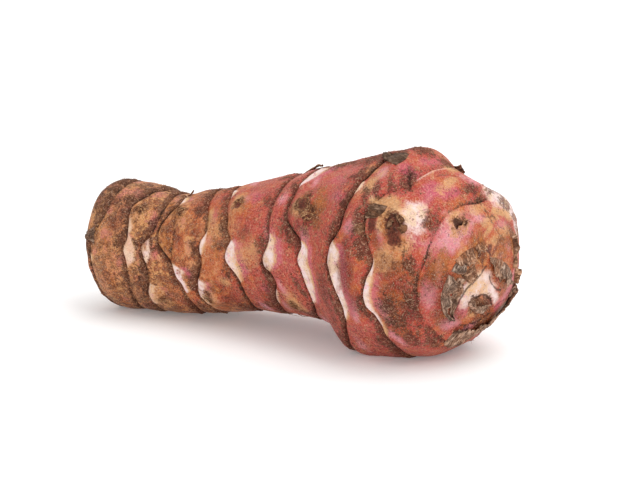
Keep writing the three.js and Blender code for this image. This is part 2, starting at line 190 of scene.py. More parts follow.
# %% The rings
RINGS = [
    dict(path=[(0, 22.2), (30, 21.8), (55, 21), (70, 18.6), (85, 17.4), (120, 17), (160, 18), (200, 19.5),
               (250, 21), (310, 22)], depth=0.5,
         fresh=[(82, 0), (90, 1), (97, 0), (210, 0), (230, 1.6), (250, 0)],
         soil=[(0, 2.5), (30, 3.4), (50, 2.8), (64, 1.2), (75, 2.2), (90, 0.6), (130, 1), (200, 1.5),
               (280, 2.5)]),
    dict(path=[(0, 29.6), (20, 28.4), (40, 26.8), (60, 27.3), (72, 27.8), (83, 27.2), (92, 28), (110, 28.2),
               (145, 27.5), (190, 27.5), (240, 28.4), (300, 29.4)], depth=0.6,
         fresh=[(28, 0), (36, 1.2), (46, 0.6), (56, 1), (62, 1.4), (68, 0.8), (76, 2.6), (83, 3.2), (90, 2.8),
                (97, 1), (104, 0), (215, 0), (232, 2.4), (262, 2.6), (275, 0)],
         soil=[(0, 3.4), (12, 3.6), (22, 2), (32, 1.3), (60, 1), (90, 1.1), (120, 1.3), (155, 1.8),
               (200, 1.5), (260, 1), (320, 2.4)]),
    dict(path=[(0, 33.6), (30, 35.2), (50, 35.2), (66, 34.4), (75, 32.6), (80, 32.4), (86, 33), (95, 34),
               (112, 34.4), (122, 33.5), (150, 34), (200, 34.6), (250, 35), (310, 34)], depth=0.6,
         fresh=[(66, 0), (70, 1), (75, 2.2), (80, 3), (86, 2.5), (91, 0.8), (95, 0), (110, 0), (115, 2.6),
                (122, 3.6), (128, 2.6), (134, 1.6), (140, 0), (280, 0), (300, 2.2), (325, 0)],
         soil=[(0, 2.4), (25, 2.6), (45, 1.2), (56, 2.8), (68, 2.4), (76, 0.6), (88, 1.6), (100, 2.2),
               (115, 1.6),
               (130, 0.8), (160, 1.4), (220, 1), (290, 1.8)]),
    dict(path=[(0, 39), (29, 40.2), (46, 37.8), (58, 36.6), (72, 37.4), (85, 40.4), (92, 41.6), (103, 42.1),
               (112, 43.2), (138, 43.2), (190, 42), (240, 40.6), (300, 39.4)], depth=0.7,
         fresh=[(10, 0), (16, 1.6), (24, 2), (32, 0.5), (36, 0), (88, 0), (93, 1.4), (98, 3), (103, 2.6),
                (109, 1.8), (118, 1.5), (124, 0), (200, 0), (214, 3), (228, 0)],
         soil=[(0, 1), (20, 2.2), (40, 1), (60, 0.6), (80, 1.4), (96, 1.5), (110, 1.2), (140, 1.6),
               (200, 1.2), (300, 1.6)]),
    dict(path=[(0, 49.6), (35, 51.2), (55, 52.6), (64, 52.2), (72, 50.8), (80, 50.5), (88, 50.8), (102, 49),
               (112, 47.8), (124, 46.8), (134, 47.6), (152, 47.6), (200, 48.6), (260, 50), (320,
                       49.6)], depth=0.7,
         fresh=[(56, 0), (64, 0.9), (71, 1.9), (78, 1.4), (84, 0.6), (90, 0), (104, 0), (111, 2.4),
                (118, 2.2),
                (126, 2.2), (133, 2), (141, 0), (236, 0), (250, 3), (268, 2.6), (280, 0)],
         soil=[(0, 2.4), (20, 2.6), (45, 2.2), (58, 0.8), (70, 0.4), (84, 1.4), (94, 2.4), (108, 2.6),
               (116, 0.8),
               (140, 1), (200, 1.4), (280, 1.8)]),
    dict(path=[(0, 55.8), (30, 57.2), (50, 58.4), (65, 59), (73, 60.2), (80, 59), (88, 58), (94, 58.4),
               (104, 60), (112, 60.5), (128, 59.8), (160, 58.6), (210, 57.4), (270, 56.6), (320,
                                                                                            56)], depth=0.7,
         fresh=[(12, 0), (18, 1.6), (24, 1.2), (31, 0), (70, 0), (74, 0.7), (78, 2.4), (82, 2.9), (86, 3.3),
                (90, 3.7), (94, 3.2), (100, 2.8), (105, 1.7), (110, 1), (115, 0), (290, 0), (304, 3), (322,
                                                                                                       2.2),
                (334, 0)],
         soil=[(0, 1), (25, 1.2), (40, 1.8), (60, 2.2), (74, 1.6), (84, 0.3), (100, 0.7), (120, 0.8),
               (150, 1.4),
               (220, 1.2), (300, 1.4)]),
    dict(path=[(0, 72.6), (40, 72.6), (62, 72.4), (75, 72.8), (82, 71.9), (90, 70), (97, 69.9), (103, 71.4),
               (113, 72.2), (125, 70.4), (141, 68.6), (160, 67.4), (200, 68), (250, 70), (310,
                                                                                          72)], depth=0.8,
         fresh=[(68, 0), (73, 1), (77, 2.3), (81, 2.7), (85, 3.5), (89, 4.5), (93, 4.6), (97, 3.4),
                (101, 1.1),
                (105, 0), (116, 0), (122, 1), (134, 0.8), (148, 0), (214, 0), (226, 3.4), (246, 2.8), (258,
                                                                                                       0)],
         soil=[(0, 0.8), (30, 1), (60, 1.2), (80, 0.4), (96, 0.8), (104, 2.6), (120, 3.2), (140, 2.4),
               (170, 2),
               (240, 1.2), (310, 1.8)]),
    dict(path=[(0, 80.6), (12, 80.2), (20, 79.2), (30, 78.3), (50, 77.9), (60, 78), (69, 80), (77, 82.6),
               (82, 83.2), (88, 82), (93, 81.6), (99, 82.5), (107, 83), (120, 84), (132, 83), (145, 80.6),
               (170, 79), (220, 78.4), (280, 79.2), (330, 80.2)], depth=0.8,
         fresh=[(6, 0), (12, 3), (18, 4), (22, 3.6), (27, 2.2), (31, 1.2), (35, 0), (76, 0), (81, 2.2),
                (86, 3.9),
                (92, 4.2), (99, 4.5), (107, 5), (115, 4), (122, 2.4), (128, 0), (256, 0), (270, 3.4), (292,
                                                                                                       3),
                (304, 0)],
         soil=[(0, 1.2), (30, 0.8), (50, 0.9), (62, 2), (72, 3), (80, 2), (88, 0.5), (110, 0.5), (130, 1.2),
               (170, 2.2), (240, 1.4), (310, 1.6)]),
    dict(path=[(0, 101.6), (30, 101.3), (40, 100.3), (55, 99.8), (67, 100.2), (74, 98.7), (80, 97.7),
               (87, 97.4),
               (92, 98.7), (98, 100.1), (107, 101.8), (114, 102.2), (122, 101.6), (132, 99.6), (150, 97.8),
               (200, 98), (260, 99.5), (320, 100.8)], depth=0.9,
         fresh=[(35, 0), (38, 1.4), (42, 1.8), (45, 1), (48, 0), (73, 0), (78, 3.6), (82, 5), (87, 5.8),
                (91, 5),
                (97, 3.8), (103, 3), (112, 2.4), (118, 1.4), (123, 0), (186, 0), (204, 4), (226, 3.4), (238,
                                                                                                        0)],
         soil=[(0, 1.5), (25, 1.4), (42, 1.8), (58, 2.2), (72, 2.4), (80, 0.5), (96, 0.8), (108, 2), (124, 3),
               (150, 2), (220, 1), (300, 1.6)]),
    dict(path=[(0, 114.3), (8, 114.4), (19, 114), (32, 113.6), (37, 112.4), (44, 109.8), (54, 107.6),
               (66, 109),
               (74, 111.6), (80, 112.9), (86, 112.7), (92, 111.6), (101, 110.5), (108, 110.9), (114, 112.7),
               (122, 113.3), (135, 112.5), (180, 111.5), (230, 110), (290, 110), (325, 110.4), (338, 111),
               (345, 111.8), (353, 113.4)], depth=0.8,
         fresh=[(8, 0.55), (18, 0.6), (24, 0.6), (31, 0), (76, 0), (80, 0.9), (86, 1.5), (92, 2), (99, 2.2),
                (106, 2.3),
                (112, 1.6), (120, 1.2), (132, 0.6), (138, 0), (250, 0), (264, 3.4), (284, 2.6), (296,
                        0), (344, 0),
                (354, 0.6)],
         clear=[(0, 0.2), (22, 0.25), (34, 0.5), (46, 0.6), (64, 1), (200, 1), (330, 0.9), (346, 0.35)],
         soil=[(0, 1), (20, 1.6), (34, 1), (60, 1.4), (74, 3.4), (82, 1.2), (94, 0.6), (110, 0.6), (130, 1.6),
               (180, 1.4), (290, 1.6)]),
    dict(path=[(0, 124.7), (15, 124.5), (29, 124.1), (42, 124.5), (58, 125.3), (69, 125.7), (79, 125.3),
               (86, 124.8),
               (100, 124.6), (112, 124.7), (129, 125.4), (145, 125.2), (161, 124.6), (200, 124.4), (270,
                                                                                                    124.4),
               (342, 123.9)], depth=0.9,
         clear=[(0, 0.7), (30, 0.6), (52, 0.7), (66, 0.9), (84, 0.9), (100, 0.8), (125, 0.6), (150, 0.7),
                (185, 0.3),
                (240, 0.2), (330, 0.2), (346, 1)],
         fresh=[(200, 0), (222, 2.4), (244, 0)],
         soil=[(0, 0.6), (40, 0.3), (80, 0.5), (100, 1.6), (130, 2.2), (160, 1.8), (240, 1), (320, 0.8)]),
]
RIM_WIDTH = 0.9
BASE_WIDTH = 1.4
INTERNODE_SWELL = 0.45
# Soil stays thicker in the creases of the far side: its bands are widened there by one factor.
FAR_SIDE_SOIL = 1.7
FAR_SIDE = 170, 345  # degrees round


def widen_far_soil(widths):
    """Soil widths of one ring, with those on the far side widened."""
    start, end = FAR_SIDE
    return [(around, round(width * FAR_SIDE_SOIL, 1) if start < around < end else width)
            for around, width in widths]


for each_ring in RINGS:
    each_ring["soil"] = widen_far_soil(each_ring["soil"])
print("rings:", len(RINGS))

# %% Swellings, eyes and folds
SWELLINGS = [  # along, around, width mm, width degrees, height
    (18, 7, 5, 30, 0.7), (36, -2, 9, 45, -0.9), (65, 3, 8, 35, -0.7), (35, 142, 8, 26, 1.2), (82, 142, 6,
            28, 1.1), (97, 150, 7, 18, 2.4),
    (107.5, 4, 4.6, 26, 1.9), (124, 143, 5.5, 50, 1.8), (112, -27, 5, 20, -3), (117.5, -32, 3, 14,
            -1.1), (109, -36, 4, 13, -1.4),
    (122, -48, 3.5, 20, 1.2), (121.4, 196, 4.5, 26, -1.8), (121, 40, 4, 24, -0.5), (104, 36, 4, 20,
            -0.5), (110, 30, 3, 16, 0.5)]
EYES = [  # along, around, width across, height, depth of the dimple, height of the bud in it
    (29.4, 46, 3.6, 0.9, 0.7, 0.4), (42.8, 39, 3.4, 0.9, 0.6, 0.4), (61.5, 43, 4.2, 1, 0.7, 0.3),
    (83, 52, 6.4, 1.2, 0.6, 0.4), (116.6, 57, 6, 2.2, 1.7, 1.7), (128.2, 25, 3.6, 0.5, 2.4, 0),
    (36, 124, 2.6, 0.9, 0.2, 0), (51, 130, 3.4, 1.2, 0.5, 0.4), (75.5, 134, 3.6, 0.8, 0, 0),
    (24, 250, 3.2, 0.8, 0.4, 0.3), (38, 300, 3, 0.8, 0.4, 0.3), (52.6, 235, 3.4, 1, 0.5, 0.3),
    (64, 300, 3.6, 0.9, 0.5, 0.3), (82, 225, 5, 1, 0.5, 0.4), (103, 270, 8, 1.1, 0.6, 0.5), (116, 210, 6,
                                                                                             1.2, 0.5, 0.4)]
# A fold's darkness is painted shade in its crease.
FOLDS = [  # short creases that are not rings: places (along, around), depth, width, darkness
    ([(40.6, 46), (41.8, 56), (42.2, 68), (41.6, 80), (41.2, 90)], 0.6, 0.4, 0.7),
    ([(113.4, 32), (116.8, 31), (120, 35), (122.6, 42), (123.8, 50)], 0.5, 0.6, 0.15),
    ([(118.6, 84), (120.6, 96), (121.4, 108), (122.4, 120)], 0.45, 0.5, 0.3),
    ([(114.8, 34), (112.6, 28), (111.6, 22)], 0.6, 0.35, 0.8),
    ([(115.6, 16), (116.2, 8), (117.6, -2)], 0.5, 0.5, 0.5),
    ([(126, -12), (127.6, -18), (129.4, -26)], 0.5, 0.3, 0.7),
    ([(128.6, -22), (130.6, -44), (129.8, -62)], 0.4, 0.3, 0.5),
    ([(127.2, -3), (128.3, -12), (127.6, -24), (129, -36), (127, -58)], 0.3, 0.25, 0.6),
    ([(134.1, -2), (135.6, -20), (136.2, -38), (136.6, -60)], 0.4, 0.35, 0.8),
    ([(137.5, -61), (139.7, -60), (140.6, 171), (138.7, 138), (136.4, 133), (133.7, 137), (131.5, 142),
      (130, 147)],
     0.7, 0.35, 0.9),
    ([(135.5, 152), (135.4, 177), (135, 200), (132.1, 213), (129.4, 212)], 0.6, 0.35, 0.9),
    ([(138.2, 263), (135.8, 234), (132.1, 233), (129.5, 242)], 0.5, 0.3, 0.8),
    ([(127.4, 232), (128.6, 218), (128.6, 206), (128.9, 190), (128.8, 173), (128.6, 158)], 0.5, 0.3, 0.7),
]
SCAR_RADIUS, SCAR_DEPTH, STUB_RADIUS, STUB_HEIGHT = 6, 1.4, 2.2, 1.6


def turn_between(a, b):
    return np.mod(a - b + 180, 360) - 180

# %% [markdown]
# ## Noise with a fixed seed
#
# Nothing grown is regular, so every width and depth is stirred with noise. Blender has noise of its own, one
# point at a time. With a hundred thousand points it is quicker to write value noise in numpy: a random number
# at each corner of a grid, blended smoothly in between. The seed is a plain number, so each run is the same.

# %% Value noise on arrays of points
def corner_value(cell, seed):
    mixed = cell[..., 0] * 374761393 + cell[..., 1] * 668265263 + cell[..., 2] * 1274126177 + seed * 974634777
    mixed = (mixed ^ (mixed >> 13)) * 1274126177
    return ((mixed ^ (mixed >> 16)) & 0xFFFFFF) / 0xFFFFFF * 2 - 1


def noise(points, size, seed):
    """Smooth noise from -1 to 1 at points in millimetres, with lumps about size across."""
    place = points / size + 100
    cell = np.floor(place).astype(np.int64)
    u = place - cell
    u = u * u * (3 - 2 * u)
    total = np.zeros(len(points))
    for corner in np.ndindex(2, 2, 2):
        weight = np.prod(np.where(corner, u, 1 - u), axis=-1)
        total += weight * corner_value(cell + np.array(corner), seed)
    return total


def rough_noise(points, size, seed):
    """Three sizes of noise added up."""
    return sum(noise(points, size / 2 ** k, seed + k) / 1.7 ** k for k in range(3)) / 1.6


# %% [markdown]
# ## A mesh that follows the rings
#
# A plain grid would cut across the slanting rings and turn each rim into a staircase. Here every ring is a
# row of points of its own, and the rows between two rings crowd towards them, so a rim only half a
# millimetre wide is still several faces deep. Both ends close in one point, like the poles of a globe.

# %% The grid of places on the skin
COLUMNS = 288
ROW_STEP = 0.5
CROWDING = 0.72


def crowded(count):
    """Fractions from 0 up to, but not with, 1, close together near both ends."""
    u = np.arange(count) / count
    return u - CROWDING * np.sin(2 * math.pi * u) / (2 * math.pi)


def row_fractions():
    """For each band between rings, the fractions of the way at which it has rows."""
    ring_means = [np.mean([y for _, y in ring["path"]]) for ring in RINGS]
    stops = [0, *ring_means, OUTLINE_LENGTH]
    bands = [crowded(max(10, round((b - a) / ROW_STEP * 1.15))) for a, b in zip(stops, stops[1:])]
    bands[0] = np.linspace(0, 1, round(stops[1] / ROW_STEP), endpoint=False)[1:]
    tip = round((OUTLINE_LENGTH - stops[-2]) / ROW_STEP * 1.9)
    bands[-1] = np.linspace(0, 1, tip, endpoint=False) ** 1.1
    return bands


around_grid = np.arange(COLUMNS) * 360 / COLUMNS
ring_lines = np.array([round_curve(ring["path"], around_grid) for ring in RINGS])
stops = np.vstack([np.zeros(COLUMNS), ring_lines, np.full(COLUMNS, OUTLINE_LENGTH)])
along_rows = []
for band, fractions in enumerate(row_fractions()):
    along_rows += [stops[band] + f * (stops[band + 1] - stops[band]) for f in fractions]
ROWS = len(along_rows)
along = np.concatenate([[0], np.array(along_rows).ravel(), [OUTLINE_LENGTH]])
around = np.concatenate([[0], np.tile(around_grid, ROWS), [0]])
radius = outline_at(along)[1]
plain = body_point(along, around)
print(f"skin grid: {ROWS} rows of {COLUMNS} points")

# %% [markdown]
# ## Where each point lies between its two rings
#
# Most of what follows depends on how far a point is past the last ring and how far before the next. So both
# distances are worked out once, with the pale and the soiled widths at that side of the ring.

# %% Distances to the rings
ring_at = np.array([round_curve(ring["path"], around) for ring in RINGS])
wobble = 0.3 * noise(plain, 3, 11) + 0.12 * noise(plain, 1.1, 12)
band_of = (along[None] >= ring_at - 1e-6).sum(0) - 1
last_ring = np.where(band_of >= 0, np.take_along_axis(ring_at, np.maximum(band_of, 0)[None], 0)[0], -50)
next_index = np.minimum(band_of + 1, len(RINGS) - 1)
next_ring = np.where(band_of + 1 < len(RINGS), np.take_along_axis(ring_at, next_index[None], 0)[0], 200)
past_ring = along - last_ring
before_ring = next_ring - along


def ring_width(kind, index, fallback=0.0):
    """A named width of the ring with this index, at each point's own side."""
    table = np.array([np.maximum(round_curve(ring[kind], around), 0) for ring in RINGS])
    found = np.take_along_axis(table, np.clip(index, 0, len(RINGS) - 1)[None], 0)[0]
    return np.where((index >= 0) & (index < len(RINGS)), found, fallback)


fresh_width = ring_width("fresh", band_of)
soil_width = ring_width("soil", band_of + 1)
clear = np.array([round_curve(ring.get("clear", [(0, 1), (180, 1)]), around) for ring in RINGS])
clear_behind = np.take_along_axis(clear, np.maximum(band_of, 0)[None], 0)[0]
clear_ahead = np.take_along_axis(clear, next_index[None], 0)[0]
print("pale skin reaches", round(float(fresh_width.max()), 1), "mm past a ring at most")

# %% [markdown]
# ## Raising the skin
#
# The plain body is pushed outwards by the swellings, the rings, the eyes and the folds, then roughened: long
# shallow dents from the soil, fine puckers towards each ring, and grains in the soiled parts. It is real
# geometry, down to about half a millimetre, because the outline and the shadows have to show it. Anything
# finer is left to the material's bump.

# %% Distance to a line drawn on the skin
def line_on_body(places, count=160):
    """Evenly spaced points, in millimetres, along a smooth line through a few places on the plain body."""
    spots = body_point(*np.array(places, float).T)
    reach = np.concatenate([[0], np.cumsum(np.linalg.norm(np.diff(spots, axis=0), axis=1))])
    at = np.linspace(0, reach[-1], count)
    return np.stack([through(list(zip(reach, spots[:, k])), at) for k in range(3)], -1)


def distance_to_line(points, line):
    """Each point's distance to the nearest of the line's points, and how far along the line that is."""
    near = np.full(len(points), 1e9)
    where = np.zeros(len(points))
    for i, dot in enumerate(line):
        distance = np.linalg.norm(points - dot, axis=-1)
        closer = distance < near
        near[closer] = distance[closer]
        where[closer] = i / (len(line) - 1)
    return near, where


# %% How far each point stands out
def ring_relief():
    """Each internode starts as a raised lip just past its ring, and slopes down into the next groove."""
    out = np.full(len(along), INTERNODE_SWELL)
    uneven = 1 + 0.45 * noise(plain, 5, 21)
    for ring, line, seen in zip(RINGS, ring_at, clear):
        past = along - line
        width = np.where(past < 0, RIM_WIDTH, BASE_WIDTH)
        out -= 0.85 * ring["depth"] * seen * uneven * np.exp(-np.abs(past) / width)
        out -= 0.35 * ring["depth"] * seen * uneven * bell(past, 0.3)
    rim = 0.14 * bell(before_ring - 0.8, 0.5) * (1 + noise(plain, 1.6, 22))
    lip = 0.42 * smooth_step(0, 2, fresh_width) * bell(past_ring - 0.8, 0.8)
    return out + rim + lip


def from_eye(eye):
    """Distance of each point from an eye's middle, and its share in the eye's broken collar and groove."""
    eye_along, eye_around, width = eye[:3]
    across = np.radians(turn_between(around, eye_around)) * radius
    distance, direction = np.hypot(along - eye_along, across), np.arctan2(across, along - eye_along)
    broken = 0.6 + 0.4 * np.sin(2 * direction + eye_along) + 0.4 * np.sin(5 * direction + eye_around)
    collar = np.clip(broken, 0, 1.2) * bell(distance - 0.4 * width, width * 0.1)
    return distance, collar, bell(distance - 0.25 * width, width * 0.07)


def eye_relief():
    """A low swelling, a crater with a broken collar in its middle, and the bud's own knob in the crater."""
    out = np.zeros(len(along))
    rough = 1 + 0.5 * noise(plain, 1, 23)
    for eye in EYES:
        distance, collar, _ = from_eye(eye)
        width, height, dimple, bud = eye[2:]
        out += height * bell(distance, width * 0.6) - dimple * rough * bell(distance, width * 0.26)
        out += 0.4 * dimple * rough * collar + bud * rough * bell(distance, width * 0.17)
    return out


fold_lines = [(line_on_body(places), depth, width, dark) for places, depth, width, dark in FOLDS]
fold_crease = np.zeros(len(along))
fold_relief = np.zeros(len(along))
for line, depth, width, dark in fold_lines:
    near, where = distance_to_line(plain, line)
    fade = smooth_step(0, 0.12, where) * smooth_step(1, 0.88, where)
    fold_relief -= depth * fade * bell(near, width * 1.6)
    fold_crease = np.maximum(fold_crease, dark * fade * bell(near + 0.3 * wobble, width))
print("folds drawn:", len(fold_lines))

# %% [markdown]
# ## Patches of finish
#
# The skin's colours come in patches with ragged edges: corky scars over the eyes, orange stains, yellow
# halos, soil. Each patch is one row: where it is, how long and wide, how far it is turned, and how strong.
# Its edge is broken up by noise. The patches that make this tuber itself are listed here. Painting an image
# would tie the look to one resolution, and numbers on the mesh do not.

